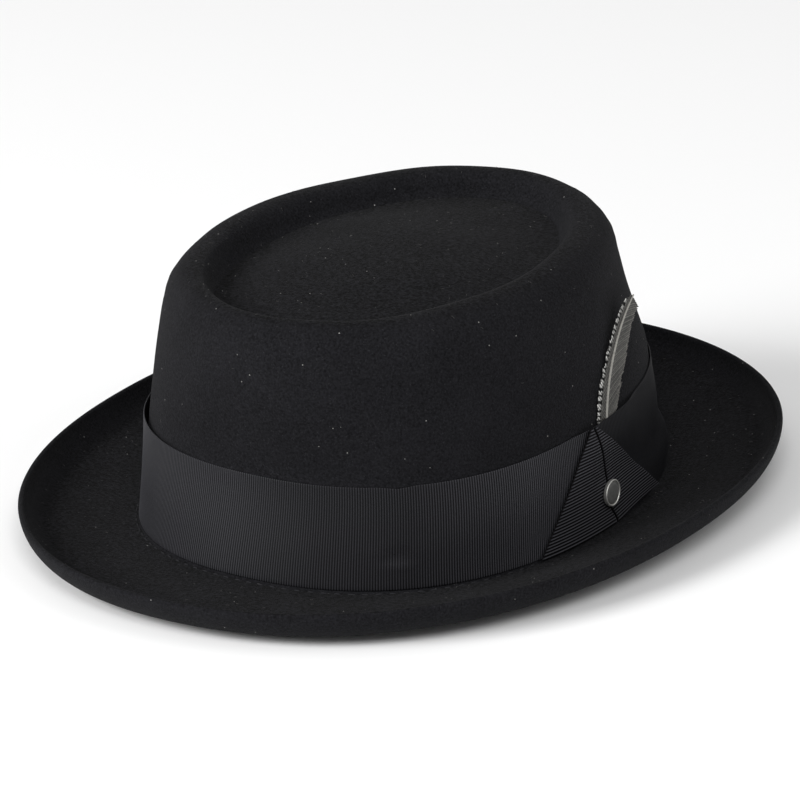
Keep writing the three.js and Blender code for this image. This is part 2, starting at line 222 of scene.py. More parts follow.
def new_material(name):
    """A material with an empty node tree."""
    material = bpy.data.materials.new(name)
    material.use_nodes = True
    material.node_tree.nodes.clear()
    return material


def add(material, kind, inputs, **settings):
    """Adds one node. Settings are its own properties. Inputs are its sockets, by name or number, and each is
    given a value or another node's output."""
    node = material.node_tree.nodes.new(kind)
    for name, value in settings.items():
        setattr(node, name, value)
    for name, value in inputs.items():
        if isinstance(value, bpy.types.NodeSocket):
            material.node_tree.links.new(value, node.inputs[name])
        else:
            node.inputs[name].default_value = value
    return node


# %% [markdown]
# ## The felt
# Wool felt has no weave. Its fibres lie tangled in every direction, pressed flat by steam, so the surface is
# dull, faintly mottled, and lightens where it turns away, because the tips of the fibres catch the light
# there. Sheen gives that last part. Two noises give the mottle, one at the size of tufts and one at the size
# of the hand's pressing. The nap of the level parts stands up in larger tufts, and those parts carry painted
# shade: the more a part faces up, the darker its colour. Another noise picks out the greyer hairs, and a cell
# pattern leaves the few specks of pale lint that black felt always carries.

# %% Pressed wool felt
TUFT, LEVEL_TUFT, PRESSING, HAIR, LINT_SPACING, LINT_SIZE = 0.85, 1.25, 22, 0.5, 5.5, 0.22
NAP_HEIGHT = 0.5
# how light the nap is on a scale from 0 to 1, how much the pressing and the tufts change that, how much
# painted shade darkens level felt, and how fast that fades as the felt turns up
PLAIN_LIGHT, PRESS_LIGHT, TUFT_LIGHT, LEVEL_PAINTED_SHADE, LEVEL_POWER = 0.42, 0.16, 1.05, 0.11, 8


def pressed_wool_felt():
    """Near-black mottled nap with painted shade where it faces up, and grey hairs and lint over it."""
    material = new_material("pressed_wool_felt")
    place = add(material, "ShaderNodeTexCoord", {}).outputs["Object"]
    tufts = add(material, "ShaderNodeTexNoise",
                {"Vector": place, "Scale": 1 / (TUFT * MM), "Detail": 5, "Roughness": 0.7})
    presses = add(material, "ShaderNodeTexNoise",
                  {"Vector": place, "Scale": 1 / (PRESSING * MM), "Detail": 3})
    facing = add(material, "ShaderNodeNewGeometry", {}).outputs["Normal"]
    level_part = add(material, "ShaderNodeSeparateXYZ", {0: facing}).outputs["Z"]
    flatness = add(material, "ShaderNodeMath", {0: level_part}, operation="ABSOLUTE")
    levelness = add(material, "ShaderNodeMath", {0: flatness.outputs[0], 1: LEVEL_POWER}, operation="POWER")
    clumps = add(material, "ShaderNodeTexNoise",
                 {"Vector": place, "Scale": 1 / (LEVEL_TUFT * MM), "Detail": 4})
    grain = add(material, "ShaderNodeMix",
                {"Factor": levelness.outputs[0], "A": tufts.outputs["Fac"], "B": clumps.outputs["Fac"]})
    centred = add(material, "ShaderNodeMath", {0: grain.outputs["Result"], 1: 0.5}, operation="SUBTRACT")
    # painted shade: the more the felt faces up, the darker its nap
    plain = add(material, "ShaderNodeMath",
                {0: levelness.outputs[0], 1: -LEVEL_PAINTED_SHADE, 2: PLAIN_LIGHT}, operation="MULTIPLY_ADD")
    pressed = add(material, "ShaderNodeMath",
                  {0: presses.outputs["Fac"], 1: PRESS_LIGHT, 2: plain.outputs[0]}, operation="MULTIPLY_ADD")
    level = add(material, "ShaderNodeMath",
                {0: centred.outputs[0], 1: TUFT_LIGHT, 2: pressed.outputs[0]}, operation="MULTIPLY_ADD")
    amount = add(material, "ShaderNodeMapRange",
                 {"Value": level.outputs[0], "From Min": 0.27, "From Max": 0.73})
    nap = add(material, "ShaderNodeMix",
              {"Factor": amount.outputs["Result"], "A": colour("#080809"), "B": colour("#232326")},
              data_type="RGBA")
    hairs = add(material, "ShaderNodeTexNoise", {"Vector": place, "Scale": 1 / (HAIR * MM), "Detail": 2})
    grey_hair = add(material, "ShaderNodeMapRange",
                    {"Value": hairs.outputs["Fac"], "From Min": 0.62, "From Max": 0.8, "To Max": 0.3})
    shade = add(material, "ShaderNodeMix",
                {"Factor": grey_hair.outputs["Result"], "A": nap.outputs["Result"], "B": colour("#4e4e52")},
                data_type="RGBA")
    cells = add(material, "ShaderNodeTexVoronoi", {"Vector": place, "Scale": 1 / (LINT_SPACING * MM)})
    speck = add(material, "ShaderNodeMath",
                {0: cells.outputs["Distance"], 1: LINT_SIZE / LINT_SPACING}, operation="LESS_THAN")
    surface = add(material, "ShaderNodeMix",
                  {"Factor": speck.outputs[0], "A": shade.outputs["Result"], "B": colour("#8d8c8a")},
                  data_type="RGBA")
    bump = add(material, "ShaderNodeBump",
               {"Height": tufts.outputs["Fac"], "Strength": 0.8, "Distance": NAP_HEIGHT * MM})
    shader = add(material, "ShaderNodeBsdfPrincipled",
                 {"Base Color": surface.outputs["Result"], "Normal": bump.outputs["Normal"],
                  "Roughness": 0.95, "Specular IOR Level": 0.05, "Sheen Weight": 0.025,
                  "Sheen Roughness": 0.45})
    add(material, "ShaderNodeOutputMaterial", {"Surface": shader.outputs["BSDF"]})
    return material


WOOL_FELT = pressed_wool_felt()

# %% [markdown]
# ## The rings of the crown
# A hat block is read as a stack of level ovals. Each oval here has its length, width and height, how far its
# middle lies behind the one at the foot, how square it is (2 is an ellipse), how much wider and how much
# higher it is behind, and how much higher on the wearer's left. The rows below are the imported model's own,
# and a smooth line through them gives the ovals between.

# %% Sizes of the felt
FELT_WALL = 2.2
HALF_WALL = FELT_WALL / 2
CROWN_LENGTH, CROWN_WIDTH, CROWN_HEIGHT = 201, 171.4, 97
RIDGE_LENGTH, RIDGE_WIDTH, RIDGE_TILT = 162.8, 126.6, 4
MOAT_LENGTH, MOAT_WIDTH, DENT_DEPTH, DOME_RISE = 152, 108.4, 9.2, 5.5
CROWN_SETBACK = 3.8
BRIM_LENGTH, BRIM_WIDTH, BRIM_RISE, BRIM_TILT, BRIM_SLANT = 298.2, 259.4, 15.8, 6, 1.4
BREAK_RADIUS, CURL_RADIUS, CURL_ANGLE, REST_FLAT = 2.6, 10.5, 85, 5
CROWN_EGG, BRIM_EGG, BRIM_SQUARENESS = -0.02, 0.03, 2.15
FOOT_HEIGHT = HALF_WALL + BREAK_RADIUS
RIDGE_HEIGHT = CROWN_HEIGHT - HALF_WALL
TAPER = (CROWN_LENGTH - RIDGE_LENGTH) / 2

# shares of the taper along and across, share of the height, lean and squareness
WALL_ROWS = np.array([
    (0.00, 0.000, 0.000, 0.00, 2.30),
    (0.43, 0.125, 0.410, 0.09, 2.36),
    (0.49, 0.210, 0.580, -0.01, 2.22),
    (0.55, 0.320, 0.740, -0.09, 2.11),
    (0.61, 0.420, 0.860, -0.11, 2.06),
    (0.70, 0.540, 0.945, -0.09, 2.05),
    (0.84, 0.750, 0.990, -0.09, 2.02),
    (1.00, 1.000, 1.000, -0.10, 1.98),
])
# share of the way in from the ridge to the moat, share of the dent's depth, lean and squareness
DENT_ROWS = np.array([
    (0.22, 0.05, -0.13, 1.94),
    (0.45, 0.26, -0.18, 1.98),
    (0.72, 0.68, -0.22, 2.05),
    (1.00, 0.98, -0.24, 2.10),
])
# share of the moat's size, share of the dome's rise and squareness
DOME_ROWS = np.array([
    (1.00, 0.00, 2.10),
    (0.90, 0.04, 2.08),
    (0.70, 0.38, 2.04),
    (0.38, 0.84, 2.00),
    (0.00, 1.00, 2.00),
])


def rings(length, width, height, lean, squareness, egg, tilt, slant=0):
    """Rows of ring sizes, in that order, from values that may be one number or a whole column."""
    columns = np.broadcast_arrays(length, width, height, lean, squareness, egg, tilt, slant)
    return np.stack(columns, axis=-1).astype(float)


along, across, up, lean, squareness = WALL_ROWS.T
WALL_RINGS = rings(mix(CROWN_LENGTH, RIDGE_LENGTH, along), mix(CROWN_WIDTH, RIDGE_WIDTH, across),
                   mix(FOOT_HEIGHT, RIDGE_HEIGHT, up), lean * TAPER, squareness, CROWN_EGG, RIDGE_TILT * up)
inward, down, lean, squareness = DENT_ROWS.T
DENT_RINGS = rings(mix(RIDGE_LENGTH, MOAT_LENGTH, inward), mix(RIDGE_WIDTH, MOAT_WIDTH, inward),
                   RIDGE_HEIGHT - DENT_DEPTH * down, lean * TAPER, squareness, CROWN_EGG, RIDGE_TILT)
MOAT_LEAN, MOAT_HEIGHT = DENT_RINGS[-1, 3], DENT_RINGS[-1, 2]
EDGE_RING = rings(BRIM_LENGTH, BRIM_WIDTH, BRIM_RISE, -CROWN_SETBACK, BRIM_SQUARENESS, BRIM_EGG, BRIM_TILT,
                  BRIM_SLANT)


# %% Points on rings
PRESS_DEPTH, PRESS_ANGLE, PRESS_SPREAD = 1.7, np.radians(50), np.radians(33)
PRESS_FOOT, PRESS_FOOT_EASE, PRESS_TOP, PRESS_TOP_EASE = 11, 10, 38, 14


def ring_point(ring, angle):
    """Points of rings. The reach along an angle is where |across|^n + |along|^n is 1, for n the squareness.
    Then the oval is widened and raised in step with how far back the point lies."""
    length, width, height, lean, square, egg, tilt, slant = np.moveaxis(ring, -1, 0)
    side = np.abs(np.cos(angle)) / (width / 2)
    end = np.abs(np.sin(angle)) / (length / 2)
    reach = (side ** square + end ** square) ** (-1 / square)
    back = reach * np.sin(angle) / (length / 2)
    return np.stack([reach * np.cos(angle) * (1 + egg * back), back * length / 2 + lean + CROWN_SETBACK,
                     height + tilt / 2 * back + slant * reach * np.cos(angle) / width], axis=-1)


def crown_point(ring, angle):
    """Points of the crown, pressed in where its rear left lies under the ribbon. The press is a bell over the
    angle from its middle, and eases in and out over the height."""
    points = ring_point(ring, angle)
    away = np.mod(angle - PRESS_ANGLE + np.pi, 2 * np.pi) - np.pi
    height = ring[..., 2]
    depth = PRESS_DEPTH * bell(away, PRESS_SPREAD) * ease((height - PRESS_FOOT) / PRESS_FOOT_EASE)
    depth *= 1 - ease((height - PRESS_TOP) / PRESS_TOP_EASE)
    return points - np.stack([depth * np.cos(angle), depth * np.sin(angle), 0 * depth], axis=-1)


def through(rows, knots, at):
    """Values on a smooth line through the rows of a table. Between two rows a cubic takes both of their
    values, and at each row it has the slope of the parabola through that row and its neighbours."""
    slopes = np.gradient(rows, knots, axis=0)
    k = np.clip(np.searchsorted(knots, at, side="right") - 1, 0, len(knots) - 2)
    gap = (knots[k + 1] - knots[k])[..., None]
    s = (np.asarray(at) - knots[k])[..., None] / gap
    return (rows[k] * (2 * s ** 3 - 3 * s ** 2 + 1) + rows[k + 1] * (3 * s ** 2 - 2 * s ** 3)
            + gap * (slopes[k] * (s ** 3 - 2 * s ** 2 + s) + slopes[k + 1] * (s ** 3 - s ** 2)))


CROWN_RINGS = np.concatenate([WALL_RINGS, DENT_RINGS])
# what a ring's length, width and height each add to its mean radius and to its height
MEAN_RADIUS_AND_HEIGHT = [[0.25, 0], [0.25, 0], [0, 1]]
CROWN_KNOTS = walk(CROWN_RINGS[:, :3] @ MEAN_RADIUS_AND_HEIGHT)
RIDGE_KNOT = CROWN_KNOTS[len(WALL_RINGS) - 1]
print(f"the felt runs {RIDGE_KNOT:.0f} mm from the crown's foot to its ridge")

# %% [markdown]
# ## The felt body
# The whole hat is one piece of felt: brim, crown and dent. So it is one surface, a grid whose rows run from
# the rolled edge in over the brim, up the wall, over the ridge and down into the dent. The brim's rows are
# exact arcs and slopes, the crown's come from the rings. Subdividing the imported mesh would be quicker, but it
# would soften the break at the crown's foot and the fold round the dome, and those two lines are what makes
# it a porkpie.

# %% Rows of the brim and of the crown
CURL_ROWS, SLOPE_ROWS, BREAK_ROWS, WALL_STEPS, DENT_STEPS, FOLD_STEPS, DOME_STEPS = 16, 16, 8, 36, 16, 7, 18
SLOPE_CROWDING = 1.3            # the slope's rows crowd towards the flat ring
SLOPE_SOFTNESS = 0.35           # how softly the slope leaves the flat ring
SLOPE_MEETING = 0.5             # share that the slope takes of the small gap between it and the arc
FOLD_REACH = 2.6                # length of felt that bends at the fold round the dome
DOME_MIDDLE = 0.02              # the innermost ring's share of the moat's size


def brim_rows(angle):
    """Rows of the brim's middle surface: the arc of the rolled edge, from its steep end down, then the slope
    that touches that arc, the flat ring, and the quarter turn up to the crown's foot."""
    foot = ring_point(WALL_RINGS[0], angle)
    edge = ring_point(EDGE_RING, angle)
    span = np.linalg.norm((edge - foot)[:, :2], axis=1)
    end = np.radians(CURL_ANGLE)
    hub_out = span - HALF_WALL - CURL_RADIUS * np.sin(end)
    hub_up = edge[:, 2] + CURL_RADIUS * np.cos(end)
    flat_out = BREAK_RADIUS + REST_FLAT
    away_out, away_up = hub_out - flat_out, hub_up - HALF_WALL
    start = np.arctan2(away_up, away_out) - np.arcsin(CURL_RADIUS / np.hypot(away_out, away_up))
    bend = mix(end, start, np.linspace(0, 1, CURL_ROWS)[:, None])
    curl_out, curl_up = hub_out + CURL_RADIUS * np.sin(bend), hub_up - CURL_RADIUS * np.cos(bend)
    share = np.linspace(1, 0, SLOPE_ROWS)[1:, None] ** SLOPE_CROWDING
    slope_out = mix(BREAK_RADIUS, curl_out[-1], share)
    rise = (slope_out - flat_out) * np.tan(start)
    slope_up = HALF_WALL + (rise + np.hypot(rise, SLOPE_SOFTNESS * share)) / 2
    slope_up += (curl_up[-1] - slope_up[0]) * share / share[0] * SLOPE_MEETING
    quarter = np.radians(np.linspace(90, 0, BREAK_ROWS)[1:-1])[:, None]
    break_out = BREAK_RADIUS * (1 - np.cos(quarter)) + 0 * span
    break_up = FOOT_HEIGHT - BREAK_RADIUS * np.sin(quarter) + 0 * span
    out = np.concatenate([curl_out, slope_out, break_out])
    height = np.concatenate([curl_up, slope_up, break_up])
    level = mix(foot[:, :2], edge[:, :2], (out / span)[..., None])
    return np.concatenate([level, height[..., None]], axis=-1)


def dome_rings(out):
    """Rings of the dome inside the moat, for shares of the moat's size."""
    known = DOME_ROWS[::-1]
    mirrored = np.concatenate([known[:0:-1] * [-1, 1, 1], known])
    rise, square = through(mirrored[:, 1:], mirrored[:, 0], out).T
    return rings(MOAT_LENGTH * out, MOAT_WIDTH * out, MOAT_HEIGHT + DOME_RISE * rise, MOAT_LEAN, square,
                 CROWN_EGG, RIDGE_TILT * out)


def crown_rings():
    """Rings from above the crown's foot to the middle of the dome. The fold round the dome is a curve that
    starts and ends along the two surfaces that meet there."""
    wall = through(CROWN_RINGS, CROWN_KNOTS, np.linspace(0, RIDGE_KNOT, WALL_STEPS)[1:])
    dent_knots = np.linspace(RIDGE_KNOT, CROWN_KNOTS[-1] - FOLD_REACH / 2, DENT_STEPS)[1:]
    dent = through(CROWN_RINGS, CROWN_KNOTS, dent_knots)
    fold_out = 1 - FOLD_REACH / 2 / ((MOAT_LENGTH + MOAT_WIDTH) / 4)
    dome = dome_rings(fold_out * np.linspace(1, DOME_MIDDLE, DOME_STEPS))
    share = np.linspace(0, 1, FOLD_STEPS)[1:-1, None]
    fold = dent[-1] * (1 - share) ** 2 + DENT_RINGS[-1] * 2 * share * (1 - share) + dome[0] * share ** 2
    return np.concatenate([wall, dent, fold, dome])


# %% [markdown]
# A felt body is never quite even: the block's shape relaxes as the felt dries, and hands press it. A few long
# waves, a fraction of a millimetre high, keep the surface from looking turned on a lathe. They are added
# along the surface's own outward direction, before the felt gets its thickness.

# %% The felt body
AROUND = 360
WAVE_HEIGHT = 0.28
WAVE_FOOT, WAVE_EASE = 45, 20   # the waves start above the ribbon and grow to their full height
LIP_BULGE = 0.9                 # roundness of the cut edge against half the felt's thickness
LIP_ROWS = 7


def outward(points):
    """Unit normals of a closed grid: the cross product of the steps to its neighbours along and across."""
    along = np.roll(points, -1, axis=1) - np.roll(points, 1, axis=1)
    return unit(np.cross(along, np.gradient(points, axis=0)))


def waves(points, count=14, shortest=28, longest=85):
    """A sum of plane waves in random directions. Their heights fall with their lengths, and add up to about
    one."""
    lengths = np.geomspace(longest, shortest, count)
    ways = rng.normal(size=(count, 3))
    ways *= 2 * np.pi / lengths[:, None] / np.linalg.norm(ways, axis=1, keepdims=True)
    heights = lengths / lengths.max()
    total = np.sin(points @ ways.T + rng.uniform(0, 2 * np.pi, count)) @ heights
    return total / np.sqrt((heights ** 2).sum())


angles = full_turn(AROUND)
middle = np.concatenate([brim_rows(angles), crown_point(crown_rings()[:, None], angles)])
settled = np.clip((middle[..., 2] - WAVE_FOOT) / WAVE_EASE, 0, 1)
middle += outward(middle) * (WAVE_HEIGHT * waves(middle) * settled)[..., None]
facing = outward(middle)
facing[-1] = (0, 0, 1)
edge_way = unit(middle[0] - middle[1])
round_lip = np.radians(np.linspace(180, 0, LIP_ROWS + 2)[1:-1])[:, None, None]
lip = middle[0] + HALF_WALL * (facing[0] * np.cos(round_lip) + LIP_BULGE * edge_way * np.sin(round_lip))
body_grid = np.concatenate([(middle - HALF_WALL * facing)[::-1], lip, middle + HALF_WALL * facing])
points, quads, caps = capped(body_grid, body_grid[0].mean(axis=0), body_grid[-1].mean(axis=0))
new_piece("felt_hat_body", points, quads, WOOL_FELT, "felt_body", caps)

# %% [markdown]
# ## Places on the crown's wall
# The ribbon, the bow, the stud and the feathers all lie on the wall. So one function gives a point of the
# wall for an angle, a height and a distance off the felt, and another finds the angle that lies a given
# length of ribbon away from the wearer's left, where the stud is.

# %% Points on the wall
TURN_STEP = 0.01                # angle over which the wall's own direction is measured
CHORD_POINTS, TRIES = 25, 4     # points of the chords that measure an arc, and how often a guess is put right
WALL_PLACES = np.linspace(0, RIDGE_KNOT, 400)
WALL_HEIGHTS = through(CROWN_RINGS, CROWN_KNOTS, WALL_PLACES)[:, 2]


def wall_ring(height):
    """The wall's ring at a height: the place along the felt that has this height, and the smooth line's ring
    there. Below the crown's foot the wall goes on straight down."""
    ring = through(CROWN_RINGS, CROWN_KNOTS, np.interp(height, WALL_HEIGHTS, WALL_PLACES))
    ring[..., 2] = height
    return ring


def wall_point(angle, height, offset):
    """Points of the wall, moved off the felt's middle along its outward normal, which is the cross product of
    a short step round the wall and one up it."""
    angle, height, offset = np.broadcast_arrays(angle, height, offset)
    ring = wall_ring(height)
    around = crown_point(ring, angle + TURN_STEP) - crown_point(ring, angle - TURN_STEP)
    rise = crown_point(wall_ring(height + 1), angle) - crown_point(wall_ring(height - 1), angle)
    return crown_point(ring, angle) + unit(np.cross(around, rise)) * offset[..., None]


def arc_angle(arc, height, offset):
    """The angle that lies a given length round the wall from the wearer's left. It starts as length over
    radius, and is put right a few times by the length that it gives, a sum of short chords."""
    arc, height = np.broadcast_arrays(np.asarray(arc, dtype=float), height)
    ring = wall_ring(height)
    ring[..., :2] += 2 * offset
    share = np.linspace(0, 1, CHORD_POINTS)
    angle = arc / (ring[..., 1] / 2)
    for _ in range(TRIES):
        points = ring_point(ring[..., None, :], angle[..., None] * share)
        walked = np.linalg.norm(np.diff(points, axis=-2), axis=-1).sum(axis=-1)
        angle = angle * np.divide(np.abs(arc), walked, out=np.ones_like(walked), where=walked > 0)
    return angle


# %% [markdown]
# ## Grosgrain
# Grosgrain is a ribbon of many fine warp threads over thick weft cords, so ribs run straight across it, about
# one to the millimetre. It is woven of a smooth yarn. The ribs are real folds of the mesh here, and the
# material paints light on them as well: a soft painted highlight on the top of each rib, and near-black
# painted shade in the groove beside it. It reads how much of that painted highlight each point has.

# %% Black grosgrain
YARN, YARN_HEIGHT = 0.5, 0.1


def black_grosgrain():
    """Painted shade in the grooves and a dark grey painted highlight on the ribs, made uneven by the yarn."""
    material = new_material("black_rayon_grosgrain")
    place = add(material, "ShaderNodeTexCoord", {}).outputs["Object"]
    rib = add(material, "ShaderNodeAttribute", {}, attribute_name="rib").outputs["Fac"]
    yarn = add(material, "ShaderNodeTexNoise", {"Vector": place, "Scale": 1 / (YARN * MM), "Detail": 3})
    uneven = add(material, "ShaderNodeMath",
                 {0: yarn.outputs["Fac"], 1: 0.6, 2: 0.7}, operation="MULTIPLY_ADD")
    height = add(material, "ShaderNodeMath",
                 {0: rib, 1: uneven.outputs[0]}, operation="MULTIPLY", use_clamp=True)
    # painted light: near-black painted shade in the grooves, a dark grey painted highlight on the rib tops
    shade = add(material, "ShaderNodeMix",
                {"Factor": height.outputs[0], "A": colour("#060607"), "B": colour("#5e5e63")},
                data_type="RGBA")
    bump = add(material, "ShaderNodeBump",
               {"Height": yarn.outputs["Fac"], "Strength": 0.35, "Distance": YARN_HEIGHT * MM})
    shader = add(material, "ShaderNodeBsdfPrincipled",
                 {"Base Color": shade.outputs["Result"], "Normal": bump.outputs["Normal"], "Roughness": 0.5,
                  "Specular IOR Level": 0.05})
    add(material, "ShaderNodeOutputMaterial", {"Surface": shader.outputs["BSDF"]})
    return material


GROSGRAIN = black_grosgrain()

# %% [markdown]
# ## The ribbon round the crown
# The ribbon is one closed band. It hugs the felt below, stands off a little at its upper edge, more on a
# slack stretch and most where the feathers are tucked behind it. Its columns are spaced evenly along the arc,
# three to a rib, so that every rib is as wide as the next. A short tack on the wearer's front left puckers
# it, and its upper edge has a small dip above that tack, with a painted highlight just below it. The painted
# highlight on the ribs is stronger or weaker round the crown, and the end that comes out behind the bow gets
# painted shade.

# %% Sizes of the trimmings
CLOTH_GAP = 0.15
RIBBON_WIDTH, RIBBON_WALL, RIBBON_SEAT, RIBBON_TILT, RIBBON_EASE = 39, 0.55, 0.9, 6, 0.2
RIBBON_GAP = 0.1
SLACK_REACH, SLACK_ANGLE, SLACK_SPREAD = 1.5, np.radians(-137), np.radians(22)
FLARE_REACH, FLARE_ANGLE, FLARE_SPREAD = 1.5, np.radians(44), np.radians(18)
FLARE_HEIGHT, FLARE_RISE = 7.5, 6
RIBBON_FOOT = FELT_WALL + RIBBON_SEAT
BARRED_REACH, BARRED_WALL, GREY_FRONT, GREY_REAR, GREY_WALL = 5.3, 0.4, 3.1, 9.8, 0.5
FEATHER_SHIFT = 2.9
FEATHER_LIFT = 0.4
FEATHER_WIDTH = BARRED_REACH + GREY_REAR
FEATHER_MIDDLE = FEATHER_SHIFT + (GREY_REAR - BARRED_REACH) / 2
FEATHER_ROOM = BARRED_WALL + CLOTH_GAP + GREY_WALL + CLOTH_GAP + FEATHER_LIFT
# shares of the feathers' width, each way, over which the ribbon stands off fully, and of the ribbon's own
# width where it starts to stand off and over which that grows
ROOM_BESIDE, ROOM_START, ROOM_EASE = 0.8, 0.45, 0.4
RIB_PITCH, RIB_DEPTH = 0.95, 0.12
PITCH_HEIGHT = 22               # height at which the ribs have their pitch
RIB_COLUMNS = [0.0, 1.0, 0.35]  # how high on its rib each column lies
EDGE_ROWS, EDGE_ZONE, MIDDLE_ROWS = np.array([0, 0.15, 0.45]), 1.5, 14
EDGE_LEAST = 0.02               # share of the rounding at which cloth is cut, so that its edge isn't sharp
INNER_RIB, INNER_PUCKER = 0.5, 0.6      # shares of the ribs and of the pucker that show on the inner face
# where the painted shade on the end behind the bow starts and ends, how softly, and how much it darkens the
# ribs
LAP_START, LAP_START_EASE, LAP_END, LAP_END_EASE, LAP_PAINTED_SHADE = -0.2, 0.2, 0.7, 0.8, 0.55
# how strong the painted highlight on the ribs of the band is against that of the bow, at angles in degrees from
# the wearer's left
PAINTED_SHINE_ROWS = np.array([(-180, 0.36), (-135, 0.45), (-118, 0.45), (-104, 0.42), (-95, 0.40), (-84, 0.29),
                       (-74, 0.24), (-55, 0.26), (-27, 0.64), (0, 0.45), (180, 0.36)])
CLOTH_ROUND = 0.35              # rounding of a ribbon's edge
TACK_ANGLE, TACK_HEIGHT, TACK_REACH, TACK_DEPTH = np.radians(-57.5), 12.5, 4.5, 0.7
TACK_SCALE = CROWN_WIDTH / 3    # millimetres to the radian beside the tack
TACK_SQUEEZE, TACK_SWELL = 1.8, 2.2     # how much narrower the pucker is up the wall, and how fast it swells
# a painted highlight below the tack: how far it lies beside and below the tack, its spread each way, and its
# strength
HIGHLIGHT_SIDE, HIGHLIGHT_DROP, HIGHLIGHT_LENGTH, HIGHLIGHT_WIDTH, TACK_HIGHLIGHT = 0.8, 2.4, 3.6, 0.9, 0.35
DIP_DEPTH, DIP_REACH = 0.8, np.radians(4)


def ribbon_offset(angle, height):
    """How far the ribbon's inner face lies off the felt's middle: half the felt and a gap, an ease that grows
    with the square of the height, more of it on the slack stretch, the room that the feathers need, and the
    low bulge where the ribbon comes out behind the bow."""
    share = np.clip((height - RIBBON_FOOT) / RIBBON_WIDTH, 0, 1)
    slack = SLACK_REACH * bell(angle - SLACK_ANGLE, SLACK_SPREAD)
    away = np.abs(angle * (CROWN_LENGTH + CROWN_WIDTH) / 4 - FEATHER_MIDDLE)
    beside = away / FEATHER_WIDTH - ROOM_BESIDE
    room = FEATHER_ROOM * ease(1 - beside) * ease((share - ROOM_START) / ROOM_EASE)
    flare = FLARE_REACH * bell(angle - FLARE_ANGLE, FLARE_SPREAD)
    flare = flare * bell(height - RIBBON_FOOT - FLARE_HEIGHT, FLARE_RISE)
    return HALF_WALL + RIBBON_GAP + (RIBBON_EASE + slack) * share ** 2 + room + flare


def tack_pucker(angle, height):
    """How deep the ribbon dips at the tack: a bell over the distance from it, with a low swell round its
    foot."""
    along, up = (angle - TACK_ANGLE) * TACK_SCALE, height - RIBBON_FOOT - TACK_HEIGHT
    away = np.hypot(along, TACK_SQUEEZE * up) / TACK_REACH
    return TACK_DEPTH * bell(away, 1) * np.cos(TACK_SWELL * away)


def edge_round(inside, radius=CLOTH_ROUND):
    """Share of its thickness that cloth has at a distance inside its edge: a quarter circle over the
    rounding."""
    away = 1 - np.clip(inside / radius, EDGE_LEAST, 1)
    return np.sqrt(1 - away ** 2)


dense = np.linspace(-np.pi, np.pi, 4001)
walked = walk(wall_point(dense, PITCH_HEIGHT, HALF_WALL + RIBBON_WALL))
rib_count = round(walked[-1] / RIB_PITCH)
rib_share = np.tile(RIB_COLUMNS, rib_count)
band_angle = np.interp(np.arange(rib_share.size) * walked[-1] / rib_share.size, walked, dense)
between = np.linspace(EDGE_ZONE, RIBBON_WIDTH - EDGE_ZONE, MIDDLE_ROWS)
inside = np.concatenate([EDGE_ROWS, between, RIBBON_WIDTH - EDGE_ROWS[::-1]])
stretch = (RIBBON_WIDTH + RIBBON_TILT / 2 * np.sin(band_angle)) / RIBBON_WIDTH
dip = DIP_DEPTH * np.clip(1 - np.abs(band_angle - TACK_ANGLE) / DIP_REACH, 0, 1)
band_height = RIBBON_FOOT + inside[:, None] * stretch - dip * (inside[:, None] / RIBBON_WIDTH) ** 3
pucker = tack_pucker(band_angle, band_height)
band_offset = ribbon_offset(band_angle, band_height)
thick = edge_round(np.minimum(inside, RIBBON_WIDTH - inside))[:, None]
half = RIBBON_WALL / 2
rib_rise = RIB_DEPTH * (rib_share - 1) * np.minimum(thick, 1)
outer_offset = band_offset + half * (1 + thick) + rib_rise - pucker
inner_offset = band_offset + half * (1 - thick) - rib_rise * INNER_RIB - INNER_PUCKER * np.maximum(pucker, 0)
points, quads = shell(wall_point(band_angle, band_height, outer_offset),
                      wall_point(band_angle, band_height, inner_offset), closed=True)
ribbon = new_piece("grosgrain_band", points, quads, GROSGRAIN, "ribbon_band")
# painted light on the ribs: a highlight whose strength changes round the crown, painted shade on the end behind
# the bow, and a painted highlight below the tack
painted_shine = np.interp(np.degrees(band_angle), *PAINTED_SHINE_ROWS.T)
lap = ease((band_angle - LAP_START) / LAP_START_EASE) * (1 - ease((band_angle - LAP_END) / LAP_END_EASE))
tack_highlight = (bell((band_angle - TACK_ANGLE) * TACK_SCALE + HIGHLIGHT_SIDE, HIGHLIGHT_LENGTH)
          * bell(band_height - RIBBON_FOOT - TACK_HEIGHT + HIGHLIGHT_DROP, HIGHLIGHT_WIDTH))
paint(ribbon, "rib", np.tile(((painted_shine * (1 - LAP_PAINTED_SHADE * lap) + TACK_HIGHLIGHT * tack_highlight) * rib_share).ravel(), 2))
print(f"{rib_count} ribs over {walked[-1]:.0f} mm")

# %% [markdown]
# ## The bow
# A flat hat bow is a length of the same ribbon folded to a triangle, point up, with one fold lapping the
# other along a line from the point down past the stud. Its ribs lie across those of the band, level with the
# bow's foot. Each fold is a grid between four corners, with many rows, because the ribs follow the rows.

# %% The two folds of the bow
BOW_REACH_FRONT, BOW_REACH_REAR, BOW_HEIGHT = 40, 33.6, 39.3
BOW_APEX_SHIFT, BOW_FOOT_SHIFT, BOW_APEX_WIDTH = -8.9, 4.4, 3.4
BOW_CORNER_RISE, BOW_CORNER_LIFT, BOW_EDGE_SAG = 3.8, 2.6, 0.6
BOW_WALL, BOW_SEAM, BOW_ROOM = 0.8, 0.4, 0.8
BOW_RIB_PITCH, BOW_RIB_DEPTH, ROWS_PER_RIB, BOW_COLUMNS = 1.12, 0.16, 6, 34
BOW_ROUND = 0.6                 # rounding of a fold's edge, fuller than the ribbon's
# how strong the painted highlight on the ribs is, how narrow it is on each, and how wide the painted shade
# along the front edge is
BOW_PAINTED_SHINE, RIB_CREST, BOW_EDGE_PAINTED_SHADE = 0.85, 4, 0.9
SEAM_SWAY, SEAM_SWAY_UP, SEAM_SWAY_SPREAD, SEAM_SWAY_EASE = 2.2, 0.22, 0.13, 0.1


